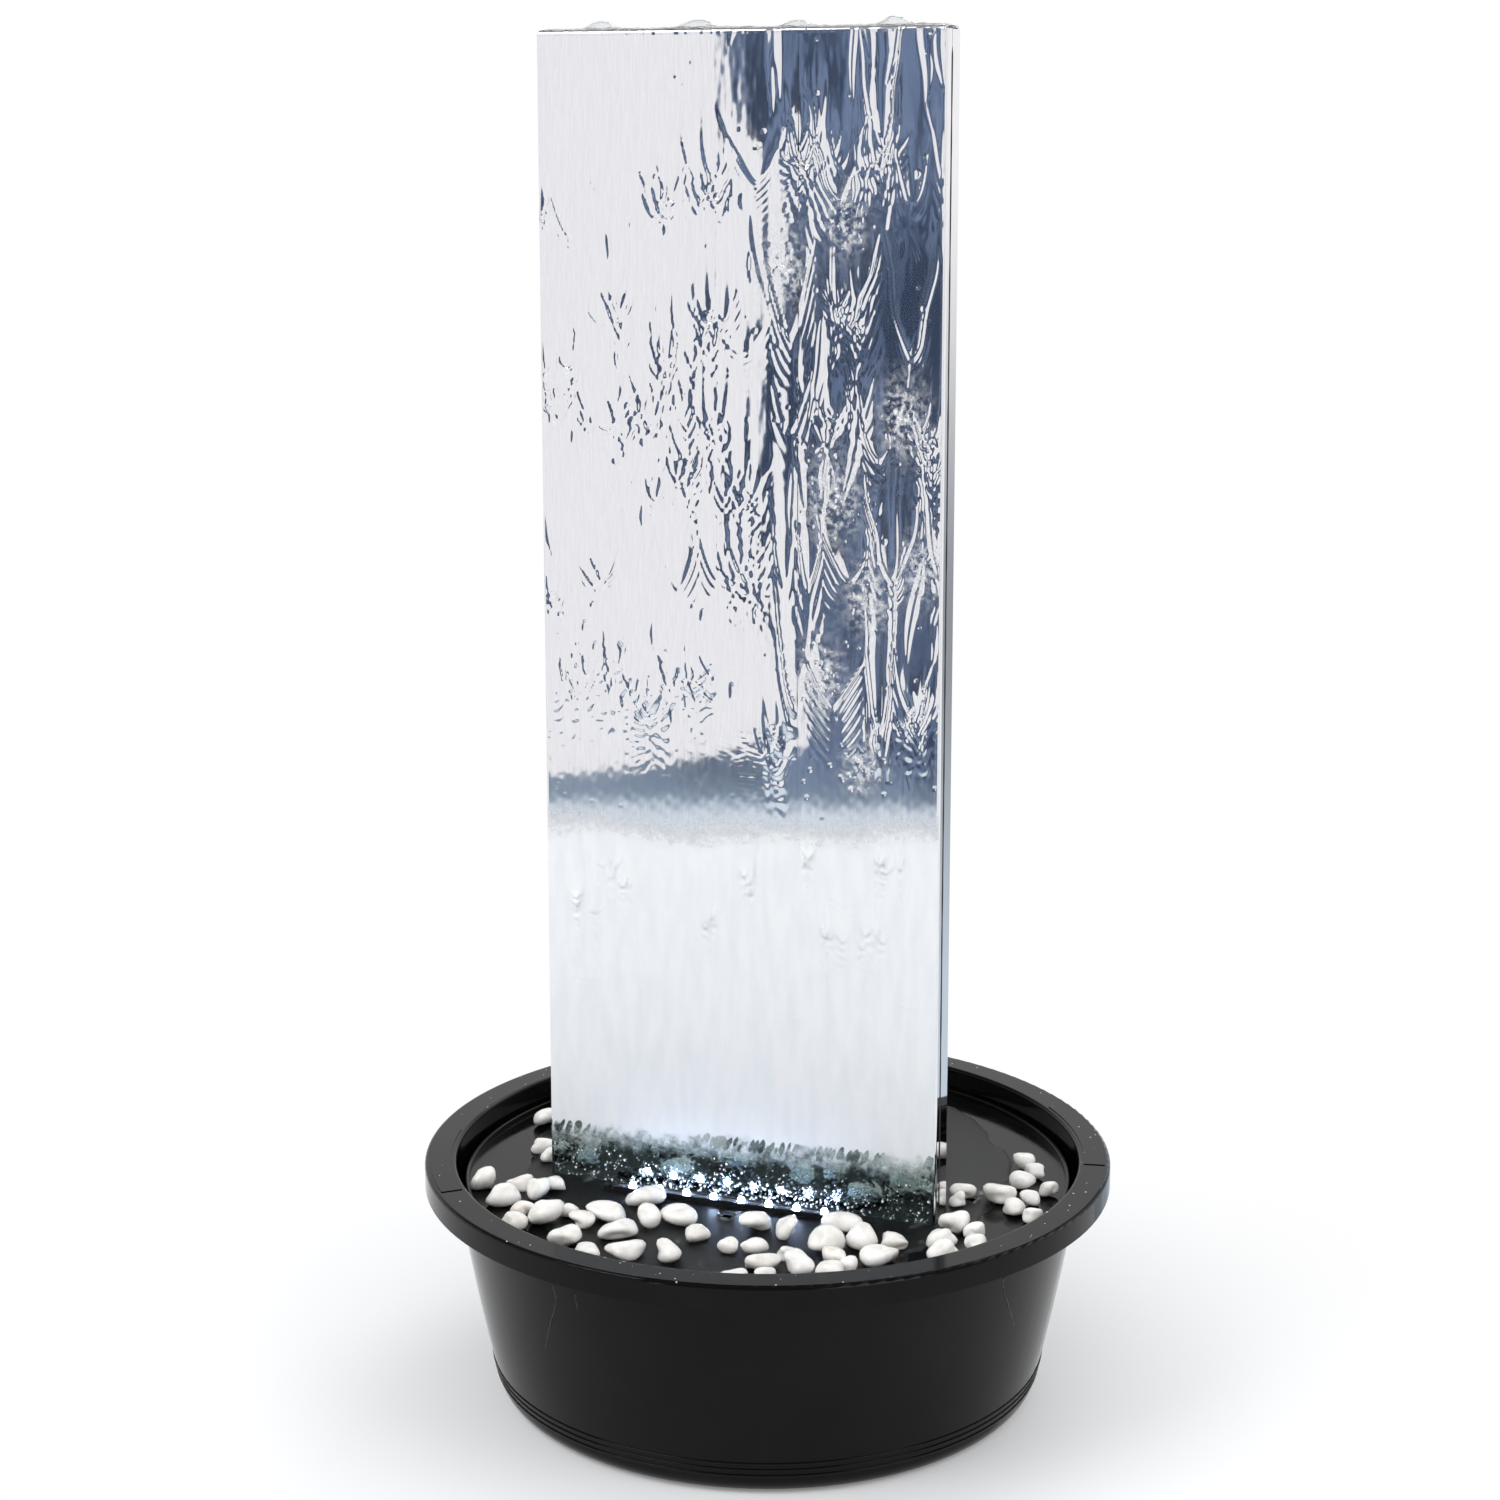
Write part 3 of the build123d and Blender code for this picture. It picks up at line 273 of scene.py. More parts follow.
finishes = {  # in turn: two tones, roughness low and high, peel size and depth and haze size in mm, gloss
    "basin_plastic": mouldedGloss("polypropyleneGlossBlack", tubSet["black"], tubSet["worn"], 0.05, 0.13,
                                  tubSet["peelMm"], 0.002, tubSet["hazeMm"], 0.14),
    "deck_plastic": mouldedGloss("polypropyleneDeckBlack", "#060607", "#0C0D0E", 0.06, 0.16, 1.4, 0.004, 38, 0.12),
    # pump housing: ABS with a spark-eroded grain
    "pump_plastic": mouldedGloss("absPumpBlack", "#121316", "#1D1E21", 0.42, 0.55, 0.8, 0.05, 30),
    # dial: acetal in warning orange so that it is found under water
    "dial_plastic": mouldedGloss("acetalDialOrange", "#B5481A", "#C4561F", 0.32, 0.42, 1.0, 0.02, 12),
    "impeller_plastic": mouldedGloss("acetalImpellerWhite", "#D9DAD6", "#C9CAC4", 0.30, 0.42, 1.0, 0.02, 10),
    "fitting_plastic": mouldedGloss("polypropyleneFittingGrey", "#3A3C3F", "#47494C", 0.34, 0.46, 1.2, 0.03, 20),
    "light_housing": mouldedGloss("anodisedBarBlack", "#0C0D0F", "#16171A", 0.30, 0.42, 0.7, 0.02, 18),
    "light_board": mouldedGloss("solderMaskWhite", "#E4E6E6", "#D8DADA", 0.36, 0.48, 1.5, 0.01, 14),
    # nitrile seals and suction feet: dull with bloom
    "seal_rubber": mouldedGloss("nitrileBlack", "#0F0F10", "#1E1E1F", 0.62, 0.80, 0.9, 0.04, 9),
    "magnet_ferrite": mouldedGloss("sinteredFerrite", "#1C1B1B", "#2A2929", 0.48, 0.64, 0.5, 0.03, 6),
    "shaft_ceramic": mouldedGloss("aluminaShaft", "#E9E4D8", "#DED8CA", 0.12, 0.20, 0.8, 0.005, 8),
}
print("moulded finishes:", len(finishes))


# stainless sheet with a fine upright brush: a mirror that is drawn out in lines
steelSet = {
    "bright": "#EFEEF1", "dull": "#E7E6EA",
    "lineMm": (0.9, 14),  # real lines are about 0.1 mm, drawn coarser so that they show
    "roughFine": 0.020, "roughCoarse": 0.050, "lineDepth": 0.0003,
}


def brushedSheet(name, settings):
    material, tree, shader, coords = startMaterial(name, {"Metallic": 1.0})
    lines = addNode(tree, "Mapping", {"Vector": coords, "Scale": drawnOut(*settings["lineMm"])})
    brush = addNode(tree, "TexNoise", {"Vector": lines, "Scale": 1.0, "Detail": 3.0, "Roughness": 0.6})
    tone = addNode(tree, "MapRange", [brush, 0.3, 0.7])
    colour = addNode(tree, "Mix", {0: tone, 6: linear(settings["bright"]), 7: linear(settings["dull"])}, **inColour)
    rough = addNode(tree, "MapRange", [brush, 0.3, 0.7, settings["roughFine"], settings["roughCoarse"]])
    bump = addNode(tree, "Bump", {"Height": brush, "Distance": settings["lineDepth"] * mm})
    feed(shader, {"Base Color": colour, "Roughness": rough, "Normal": bump})
    return material


finishes["steel_sheet"] = brushedSheet("stainlessBrushed", steelSet)
finishes["fastener_steel"] = brushedSheet("stainlessFastener", {**steelSet, "lineMm": (0.6, 0.9),
                                                                "roughFine": 0.22, "roughCoarse": 0.34})

# clear pieces: vinyl hose gone cloudy, cast epoxy over the lamps, and the lamps' own lenses, lit
lampSet = {"white": "#C2D6FF", "strength": 85.0}
clearSet = {  # in turn: the shader's own values, size in mm and detail of the clouds, roughness low and high
    "hose_vinyl": ("vinylHoseClear", {
        "IOR": 1.53, "Transmission Weight": 0.75, "Base Color": linear("#D8E2DC")}, 14, 3.0, 0.12, 0.34),
    "light_resin": ("castEpoxyClear", {
        "IOR": 1.52, "Transmission Weight": 0.9, "Base Color": linear("#DCE6EE")}, 7, 3.0, 0.05, 0.25),
    "lamp_lens": ("lampLensLit", {
        "IOR": 1.5, "Base Color": linear("#F4F7FB"), "Emission Color": linear(lampSet["white"]),
        "Emission Strength": lampSet["strength"]}, 1.5, 2.0, 0.12, 0.28),
}
for slotName, (name, ownValues, cloudMm, detail, roughLow, roughHigh) in clearSet.items():
    finishes[slotName], tree, shader, coords = startMaterial(name, ownValues)
    cloud = addNode(tree, "TexNoise", {"Vector": coords, "Scale": perMm(cloudMm), "Detail": detail})
    rough = addNode(tree, "MapRange", [cloud, 0, 1, roughLow, roughHigh])
    feed(shader, {"Roughness": rough})

# running water: clear, with a fine shiver on its skin
waterSet = {"tint": "#FBFCFD", "shiverMm": 4.0, "shiverDepth": 0.010}
water, tree, shader, coords = startMaterial("waterClear", {
    "IOR": 1.333, "Transmission Weight": 1.0, "Roughness": 0.0, "Base Color": linear(waterSet["tint"])})
shiver = addNode(tree, "TexNoise", {"Vector": coords, "Scale": perMm(waterSet["shiverMm"]), "Detail": 2.0})
bump = addNode(tree, "Bump", {"Height": shiver, "Distance": waterSet["shiverDepth"] * mm})
feed(shader, {"Normal": bump})

# standing water: the same, darkened by the black deck close under it
stillSet = {"tint": "#DDE4E4", "shiverMm": 9.0, "shiverDepth": 0.02}
stillWater, tree, shader, coords = startMaterial("waterStill", {
    "IOR": 1.333, "Specular IOR Level": 0.2, "Transmission Weight": 1.0, "Base Color": linear(stillSet["tint"])})
shiver = addNode(tree, "TexNoise", {"Vector": coords, "Scale": perMm(stillSet["shiverMm"]), "Detail": 3.0})
bump = addNode(tree, "Bump", {"Height": shiver, "Distance": stillSet["shiverDepth"] * mm})
feed(shader, {"Normal": bump})

# the sheet on the panel: clear high up with patches of froth, white with fine bubbles lower down, and green-grey
# at the foot, where it churns; the white ends below in a soft edge with a row of slanting dark strokes
sheetSet = {
    "white": "#F2F5F8", "whiteDull": "#EAEFF4", "roughWhite": 0.34, "clearest": 0.06,
    "top": (0.424, 0.458), "foot": (0.186, 0.208),  # edges of the white, heights in metres
    "topClimb": 0.065, "climb": 0.027,  # metres of height gained per metre across
    "cloudMm": 46, "wander": 0.03, "edgeMm": 6.0, "edgeWander": 0.022,
    "strokeMm": (3.2, 18.0), "strokeHalf": 0.0125, "strokeLevel": 0.2015, "strokeLean": -0.32,
    "strokeDark": 0.80, "strokeEdge": (0.35, 0.45), "strokeGroups": (0.40, 0.54),
    "streakMm": (9.0, 40.0), "frothMm": 5.0, "speckEdge": (0.44, 0.66),
    "deep": "#93AAA6", "deepFrom": 0.02, "roughDeep": 0.34,
}
sheetWater, tree, shader, coords = startMaterial("waterAerated", {"IOR": 1.333})
place = addNode(tree, "SeparateXYZ", {"Vector": coords})
level = addNode(tree, "Math", [place.outputs["X"], -sheetSet["climb"], place.outputs["Z"]], operation="MULTIPLY_ADD")
topLevel = addNode(tree, "Math", [place.outputs["X"], -sheetSet["topClimb"], place.outputs["Z"]],
                   operation="MULTIPLY_ADD")
cloud = addNode(tree, "TexNoise", {"Vector": coords, "Scale": perMm(sheetSet["cloudMm"]), "Detail": 5.0})
specks = addNode(tree, "TexNoise", {
    "Vector": coords, "Scale": perMm(sheetSet["frothMm"]), "Detail": 5.0, "Roughness": 0.7})
mixed = addNode(tree, "Math", [cloud, specks], operation="ADD")
upper = addNode(tree, "Math", [mixed, sheetSet["wander"], topLevel], operation="MULTIPLY_ADD")
top = [edge + sheetSet["wander"] for edge in sheetSet["top"]]
under = addNode(tree, "MapRange", [upper, *top, 1.0, 0.0], **softStep)
ragged = addNode(tree, "TexNoise", {"Vector": coords, "Scale": perMm(sheetSet["edgeMm"]), "Detail": 4.0})
lower = addNode(tree, "Math", [ragged, sheetSet["edgeWander"], level], operation="MULTIPLY_ADD")
foot = [edge + sheetSet["edgeWander"] / 2 for edge in sheetSet["foot"]]
over = addNode(tree, "MapRange", [lower, *foot], **softStep)
slanting = addNode(tree, "Mapping", {"Vector": coords, "Rotation": (0, sheetSet["strokeLean"], 0)})
slanting = addNode(tree, "Mapping", {"Vector": slanting, "Scale": drawnOut(*sheetSet["strokeMm"])})
comb = addNode(tree, "TexNoise", {"Vector": slanting, "Scale": 1.0, "Detail": 0.0})
away = addNode(tree, "Math", [level, sheetSet["strokeLevel"]], operation="SUBTRACT")
away = addNode(tree, "Math", [away], operation="ABSOLUTE")
bell = addNode(tree, "MapRange", [away, sheetSet["strokeHalf"], 0.0], **softStep)
strokes = addNode(tree, "Math", [bell, comb], operation="MULTIPLY")
dark = addNode(tree, "MapRange", [strokes, *sheetSet["strokeEdge"]])
groups = addNode(tree, "MapRange", [cloud, *sheetSet["strokeGroups"]])
dark = addNode(tree, "Math", [dark, groups], operation="MULTIPLY")
kept = addNode(tree, "Math", [dark, -sheetSet["strokeDark"], 1.0], operation="MULTIPLY_ADD")
foam = addNode(tree, "Math", [under, over], operation="MULTIPLY")
foam = addNode(tree, "Math", [foam, kept], operation="MULTIPLY")
froth = addNode(tree, "Attribute", attribute_name="froth")
speck = addNode(tree, "MapRange", [specks, *sheetSet["speckEdge"]])
frothy = addNode(tree, "Math", [froth.outputs["Fac"], speck], operation="MULTIPLY")
foam = addNode(tree, "Math", [foam, frothy], operation="MAXIMUM")
drawn = addNode(tree, "Mapping", {"Vector": coords, "Scale": drawnOut(*sheetSet["streakMm"])})
streak = addNode(tree, "TexNoise", {"Vector": drawn, "Scale": 1.0, "Detail": 4.0})
patch = addNode(tree, "MapRange", [streak, 0.4, 0.7])
milk = addNode(tree, "Mix", {0: patch, 6: linear(sheetSet["white"]), 7: linear(sheetSet["whiteDull"])}, **inColour)
depth = addNode(tree, "MapRange", [level, sheetSet["foot"][1] + sheetSet["deepFrom"], sheetSet["foot"][1]])
clean = addNode(tree, "Mix", {0: depth, 6: linear(waterSet["tint"]), 7: linear(sheetSet["deep"])}, **inColour)
colour = addNode(tree, "Mix", {0: foam, 6: clean, 7: milk}, **inColour)
clear = addNode(tree, "Mix", {0: foam, 2: 1.0, 3: sheetSet["clearest"]})
blur = addNode(tree, "Math", [depth, speck], operation="MULTIPLY")
blur = addNode(tree, "Math", [blur, sheetSet["roughDeep"]], operation="MULTIPLY")
rough = addNode(tree, "Mix", {0: foam, 2: blur, 3: sheetSet["roughWhite"]})
shiver = addNode(tree, "TexNoise", {"Vector": coords, "Scale": perMm(waterSet["shiverMm"]), "Detail": 2.0})
bump = addNode(tree, "Bump", {"Height": shiver, "Distance": waterSet["shiverDepth"] * mm})
feed(shader, {"Base Color": colour, "Transmission Weight": clear, "Roughness": rough, "Normal": bump})

# froth: drops so full of fine bubbles that they are white
frothWhite, tree, shader, coords = startMaterial("waterFroth", {"IOR": 1.333, "Transmission Weight": 0.15})
cloud = addNode(tree, "TexNoise", {"Vector": coords, "Scale": perMm(3.0), "Detail": 3.0})
pale = addNode(tree, "Mix", {0: cloud, 6: linear("#FFFFFF"), 7: linear("#E6EEF5")}, **inColour)
rough = addNode(tree, "MapRange", [cloud, 0, 1, 0.15, 0.40])
feed(shader, {"Base Color": pale, "Roughness": rough})

# tumbled white marble, wet: soft cloudy white, a few stones stained warm, shallow pits
stoneSet = {"white": "#FAF9F6", "grey": "#E2DED7", "warm": "#E2CDAE", "cloudMm": 9.0, "pitMm": 1.6, "pitDepth": 0.14}
stone, tree, shader, coords = startMaterial("marbleTumbled", {
    "IOR": 1.56, "Subsurface Weight": 0.12, "Subsurface Radius": (0.004, 0.0036, 0.003), "Subsurface Scale": 1.0,
    "Coat Weight": 0.35, "Coat Roughness": 0.12})
tint = addNode(tree, "Attribute", attribute_name="stoneTint")
cloud = addNode(tree, "TexNoise", {"Vector": coords, "Scale": perMm(stoneSet["cloudMm"]), "Detail": 5.0})
share = addNode(tree, "MapRange", [cloud, 0.42, 0.72])
pale = addNode(tree, "Mix", {0: share, 6: linear(stoneSet["white"]), 7: linear(stoneSet["grey"])}, **inColour)
stain = addNode(tree, "Math", [tint.outputs["Fac"], share], operation="MULTIPLY")
colour = addNode(tree, "Mix", {0: stain, 6: pale, 7: linear(stoneSet["warm"])}, **inColour)
rough = addNode(tree, "MapRange", [cloud, 0, 1, 0.32, 0.55])
pits = addNode(tree, "TexNoise", {"Vector": coords, "Scale": perMm(stoneSet["pitMm"]), "Detail": 3.0})
bump = addNode(tree, "Bump", {"Height": pits, "Distance": stoneSet["pitDepth"] * mm})
feed(shader, {"Base Color": colour, "Roughness": rough, "Normal": bump})
finishes["pebble_stone"] = stone

for name, node in nodes.items():
    node.data.materials[0] = finishes[node.data.materials[0].name.split(".")[0]]
nodes["light_screws"].data.materials[0] = finishes["light_housing"]  # blackened screws in the black bar
print("finishes on the CAD nodes:", len(finishes))


# sheets that are shaped as a grid and then closed
def unitGrid(columns, rows):  # a flat grid, and its points as shares from -0.5 to 0.5
    bm = bmesh.new()
    bmesh.ops.create_grid(bm, x_segments=columns, y_segments=rows, size=0.5)
    return bm, np.array([v.co for v in bm.verts])


def closeOnBed(bm, axis, bed):  # walls from the sheet's rim to a plane square to the axis, and a face there
    walls = bmesh.ops.extrude_edge_only(bm, edges=[e for e in bm.edges if e.is_boundary])["geom"]
    for v in walls:
        if isinstance(v, bmesh.types.BMVert):
            v.co[axis] = bed
    bmesh.ops.holes_fill(bm, edges=[e for e in bm.edges if e.is_boundary], sides=0)
    bmesh.ops.recalc_face_normals(bm, faces=bm.faces)


def thicken(bm, wall):  # the faces look up before the sheet gets its thickness
    bmesh.ops.recalc_face_normals(bm, faces=bm.faces)
    if sum(f.normal.z for f in bm.faces) < 0:
        bmesh.ops.reverse_faces(bm, faces=bm.faces)
    bmesh.ops.solidify(bm, geom=bm.faces[:], thickness=wall * mm)
    bmesh.ops.recalc_face_normals(bm, faces=bm.faces)


def waveSum(rng, count, lengths, x, y):  # random waves, about so many mm long each way, that add up to unit height
    total = np.zeros_like(x)
    for _ in range(count):
        kx, ky = rng.normal(0, 2 * np.pi / lengths[0]), rng.normal(0, 2 * np.pi / lengths[1])
        total += np.cos(kx * x + ky * y + rng.uniform(0, turnMost))
    return total * math.sqrt(2 / count)


# water on the panel's faces: a thin film with tongues, horseshoe waves and the ripples that run ahead of them
faceLow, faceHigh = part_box("front_shell")
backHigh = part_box("back_shell")[1]
panelHalf = faceHigh.x / mm
panelFoot, panelTop = faceLow.z / mm, faceHigh.z / mm
filmSet = {
    "sideGap": 0.8, "footGap": 0.6, "crestDrop": 1.0, "bed": 0.05, "thinnest": 0.06, "thin": 0.28, "thick": 3.4,
    "sideFade": 3, "sideLeast": 0.15,  # it thins out at the sides
    "seams": (0.30, 0.265),  # where the front's pieces meet, as shares across and up
    # rolls: garlands of horseshoe waves that hang one below the other
    "rowGap": (82, 120), "rowJitter": 30, "rowStart": (0, 20), "rollGap": (0.7, 1.5),
    "rollHalf": (8, 22), "rollArm": (30, 76), "rollRise": (0.6, 1.45), "rollTail": (3.0, 8.5), "rollBend": (1.1, 1.9),
    "rollShare": (0.3, 0.75), "rollReach": 2.6,
    # small waves that gather below the rolls: chance by the place across
    "patchChance": ((-150, 0.95), (-60, 0.9), (-10, 0.5), (40, 0.35)), "patchReach": (10, 8),
    "waves": 380, "waveHalf": (4, 10), "waveArm": (7, 22), "waveRise": (0.3, 0.8), "waveTail": (2.0, 4.5),
    "waveBend": (1.2, 2.0), "waveShare": (0.5, 0.9), "waveReach": 2.0,
    # faint chevrons in the white: across and up from the foot, in mm
    "marks": ((-118, 212), (-22, 212), (70, 208), (104, 208), (50, 262), (108, 262), (-95, 238), (8, 236)),
    "markWaves": 5, "markArm": 0.4, "markForce": 2.0, "markReach": (5, 4),
    # what rolls and waves share: ripples ahead, arms that wander by a share of the half width, strength along them
    "rippleGap": (2.9, 4.4), "frontStep": 1.5, "flank": 1.5, "window": (40, 2.4, 60),
    "skew": (-0.5, 0.5), "sway": (0.02, 0.08), "swayMm": (5, 12),
    "beat": (2, 7), "frontBeat": (0.85, 0.4), "rippleBeat": (0.50, 0.8),
    # tongues and slivers of thicker water: shares of the height, then sizes in mm
    "startShare": (0.1, 1.06), "hangShare": 1.03, "lean": (-0.22, 0.22), "bow": (0.2, 0.5), "bowTurn": 5, "belly": 0.75,
    "tongues": 26, "topTongues": 10, "topFrom": -15,
    "tongueLength": (34, 88), "tongueHalf": (2.8, 6.5), "tongueRise": (0.5, 1.5),
    "slivers": 190, "sliverSpread": (22, 20),
    "sliverLength": (5, 26), "sliverHalf": (1.5, 3.0), "sliverRise": (0.4, 1.3),
    "beads": 240, "beadShare": (0.1, 1.0), "beadHalf": (0.9, 1.7), "beadRise": (0.2, 0.6),
    # froth: across from the middle and down from the top, in mm
    "foams": ((79, 131), (34, 160), (120, 262), (71, 320), (134, 366), (96, 387), (62, 446), (92, 508)),
    "foamReach": (10, 18), "foamTall": 1.5, "foamBubbles": 40, "bubbleSpread": (0.6, 0.9),
    "shivers": 40, "shiverMm": (13.0, 30.0), "shiverRise": 0.012,
    "churns": 110, "churnMm": (4.6, 4.6), "churnRise": 0.30, "churnTop": 44.0, "churnFull": 1.15,
    "calmBelow": ((-150, 350), (10, 350), (50, 290)), "calmShare": 0.12,  # the lower part runs smoother
    "vigour": ((-150, 0.80), (-80, 0.55), (-20, 0.45), (30, 0.8), (70, 1.0)),  # strength by the place across
    "waveEven": 0.0, "tongueEven": 1.0, "sliverEven": 0.3,  # how far each kind follows it
}


def waterRelief(across, up, tall, settings, seed):
    rng = np.random.default_rng(seed)
    rise = np.full_like(across, settings["thin"])
    froth = np.zeros_like(across)
    flank, (beforeMm, armSpan, afterMm) = settings["flank"], settings["window"]

    def draw(name):
        return rng.uniform(*settings[name])

    def vigour(middle, level, evenness=1.0):  # how strong the stream is at a place
        share = np.interp(middle, *zip(*settings["vigour"])) ** evenness
        calm = settings["calmShare"] if level < np.interp(middle, *zip(*settings["calmBelow"])) else 1.0
        return share * calm * np.clip(level / settings["churnTop"] - 1, 0, 1)

    def inPatch(patch, reach):
        return patch[0] + rng.normal(0, reach[0]), patch[1] + rng.normal(0, reach[1])

    crests, patches = [], []
    low = tall - draw("rowGap")
    while low > 0:
        middle = -panelHalf - draw("rowStart")
        while middle < panelHalf:
            half = draw("rollHalf")
            middle += half * draw("rollGap")
            level = low + rng.uniform(-1, 1) * settings["rowJitter"]
            force = vigour(middle, level)
            crests.append(("roll", middle, level, half, force, force))
            if rng.uniform() < np.interp(middle, *zip(*settings["patchChance"])):
                patches.append((middle, level))
            middle += half
        low -= draw("rowGap")
    for index in range(settings["waves"]):
        middle, level = inPatch(patches[index % len(patches)], settings["patchReach"])
        force = vigour(middle, level, settings["waveEven"])
        crests.append(("wave", middle, level, draw("waveHalf"), force, force))
    for mark in settings["marks"] * settings["markWaves"]:
        middle, level = inPatch(mark, settings["markReach"])
        half = draw("waveHalf") / 2
        crests.append(("wave", middle, level, half, settings["markArm"], settings["markForce"]))
    for kind, middle, low, half, armShare, force in crests:
        arm, bend = draw(kind + "Arm") * armShare, draw(kind + "Bend")
        top, tail = draw(kind + "Rise"), draw(kind + "Tail")
        gap, share = draw("rippleGap"), draw(kind + "Share")
        skew, beat = draw("skew"), draw("beat")
        phase = rng.uniform(0, turnMost, 2)
        sway, swayMm = draw("sway") * half, draw("swayMm")
        near = (np.abs(across - middle) < flank * half) & (up > low - beforeMm) & (up < low + armSpan * arm + afterMm)
        side = (across[near] - middle + sway * np.sin(up[near] / swayMm + phase[0])) / half
        s = np.minimum(np.abs(side), flank)
        spread = (1 - (s / flank) ** 4) ** 2 * (1 + skew * np.clip(side, -1, 1))
        steep = arm * bend / half * (s * s + 0.06) ** ((bend - 1) / 2)
        behind = (up[near] - low - arm * s ** bend) / np.sqrt(1 + steep ** 2)  # square to the wave's front
        body = np.where(behind > 0, np.exp(-np.clip(behind, 0, None) / tail),
                        np.exp(-(behind / settings["frontStep"]) ** 2))
        ahead = np.where(behind < 0, np.cos(2 * np.pi * behind / gap) * np.exp(
            np.clip(behind, None, 0) / (settings[kind + "Reach"] * gap)), 0)
        for part, key, start in ((body, "frontBeat", phase[0]), (ahead, "rippleBeat", phase[1])):
            mean, swing = settings[key]
            part *= np.clip(mean + swing * np.sin(beat * side + start), 0, 1)  # fronts and ripples come and go
        rise[near] += force * top * spread * (body + share * ahead)
    for kind in ("tongue", "sliver"):
        for index in range(settings[kind + "s"]):
            middle, start = rng.uniform(-panelHalf, panelHalf), draw("startShare") * tall
            if kind == "tongue" and index < settings["topTongues"]:  # hang from the edge on the right
                middle, start = rng.uniform(settings["topFrom"], panelHalf), settings["hangShare"] * tall
            if kind == "sliver":
                middle, start = inPatch(patches[index % len(patches)], settings["sliverSpread"])
            long = draw(kind + "Length")
            lean = draw("lean") * long
            half, top = draw(kind + "Half"), draw(kind + "Rise")
            bow, phase = draw("bow") * half, rng.uniform(0, turnMost)
            near = (up < start) & (up > start - long)
            t = (start - up[near]) / long
            swell = np.sin(np.pi * t ** settings["belly"])
            line = middle + lean * t + bow * np.sin(settings["bowTurn"] * t + phase)
            q = (across[near] - line) / (half * swell + 1e-3)
            force = vigour(middle, start - long, settings[kind + "Even"])
            rise[near] += force * top * swell * np.clip(1 - q * q, 0, None) ** 2
    beads = [(rng.uniform(-panelHalf, panelHalf), draw("beadShare") * tall) for _ in range(settings["beads"])]
    for middle, drop in settings["foams"]:
        reach = draw("foamReach")
        dx, dz = (across - middle) / reach, (up - tall + drop) / (settings["foamTall"] * reach)
        froth = np.maximum(froth, np.exp(-dx * dx - dz * dz))
        wide, high = (reach * share for share in settings["bubbleSpread"])
        beads += [(middle + rng.normal(0, wide), tall - drop + rng.normal(0, high))
                  for _ in range(settings["foamBubbles"])]
    for x, z in beads:
        half, top = draw("beadHalf"), draw("beadRise")
        near = np.abs(across - x) + np.abs(up - z) < 2 * half
        q = ((across[near] - x) ** 2 + (up[near] - z) ** 2) / half ** 2
        rise[near] += vigour(x, z, 0.0) * top * np.clip(1 - q, 0, None) ** 1.5
    rise += settings["shiverRise"] * waveSum(rng, settings["shivers"], settings["shiverMm"], across, up)
    rough = settings["churnRise"] * waveSum(rng, settings["churns"], settings["churnMm"], across, up)
    rise += rough * np.clip(settings["churnFull"] - up / settings["churnTop"], 0, 1)
    return np.clip(rise, settings["thinnest"], settings["thick"]), froth


def panelFilm(name, faceY, outward, seed, wide, high, columns, rows):
    bm, grid = unitGrid(columns, rows)
    tall = panelTop - panelFoot - filmSet["footGap"] - filmSet["crestDrop"]
    reach = panelHalf - filmSet["sideGap"]
    across = (wide[0] + (wide[1] - wide[0]) * (grid[:, 0] + 0.5)) * reach
    up = (high[0] + (high[1] - high[0]) * (grid[:, 1] + 0.5)) * tall
    rise, froth = waterRelief(across, up, tall, filmSet, seed)
    rise *= np.clip((reach - np.abs(across)) / filmSet["sideFade"], filmSet["sideLeast"], 1)
    frothLayer = bm.verts.layers.float.new("froth")
    for v, x, z, h, f in zip(bm.verts, across, up, rise, froth):
        v.co = (x * mm, faceY + outward * h * mm, (panelFoot + filmSet["footGap"] + z) * mm)
        v[frothLayer] = f
    closeOnBed(bm, 1, faceY - outward * filmSet["bed"] * mm)
    finishPiece(name, bm, sheetWater, "panel")


# the front sheet is in three pieces that meet edge to edge: shares of the half width and of the height
seamAcross, seamUp = filmSet["seams"]
panelFilm("water_film_front_left", faceLow.y, -1, 5, (-1.0, seamAcross), (seamUp, 1.0), 160, 590)
panelFilm("water_film_front_right", faceLow.y, -1, 5, (seamAcross, 1.0), (seamUp, 1.0), 120, 590)
panelFilm("water_film_front_low", faceLow.y, -1, 5, (-1.0, 1.0), (0.0, seamUp), 230, 190)
panelFilm("water_film_back", backHigh.y, 1, 23, (-1.0, 1.0), (0.0, 1.0), 150, 290)
print("water on the panel")


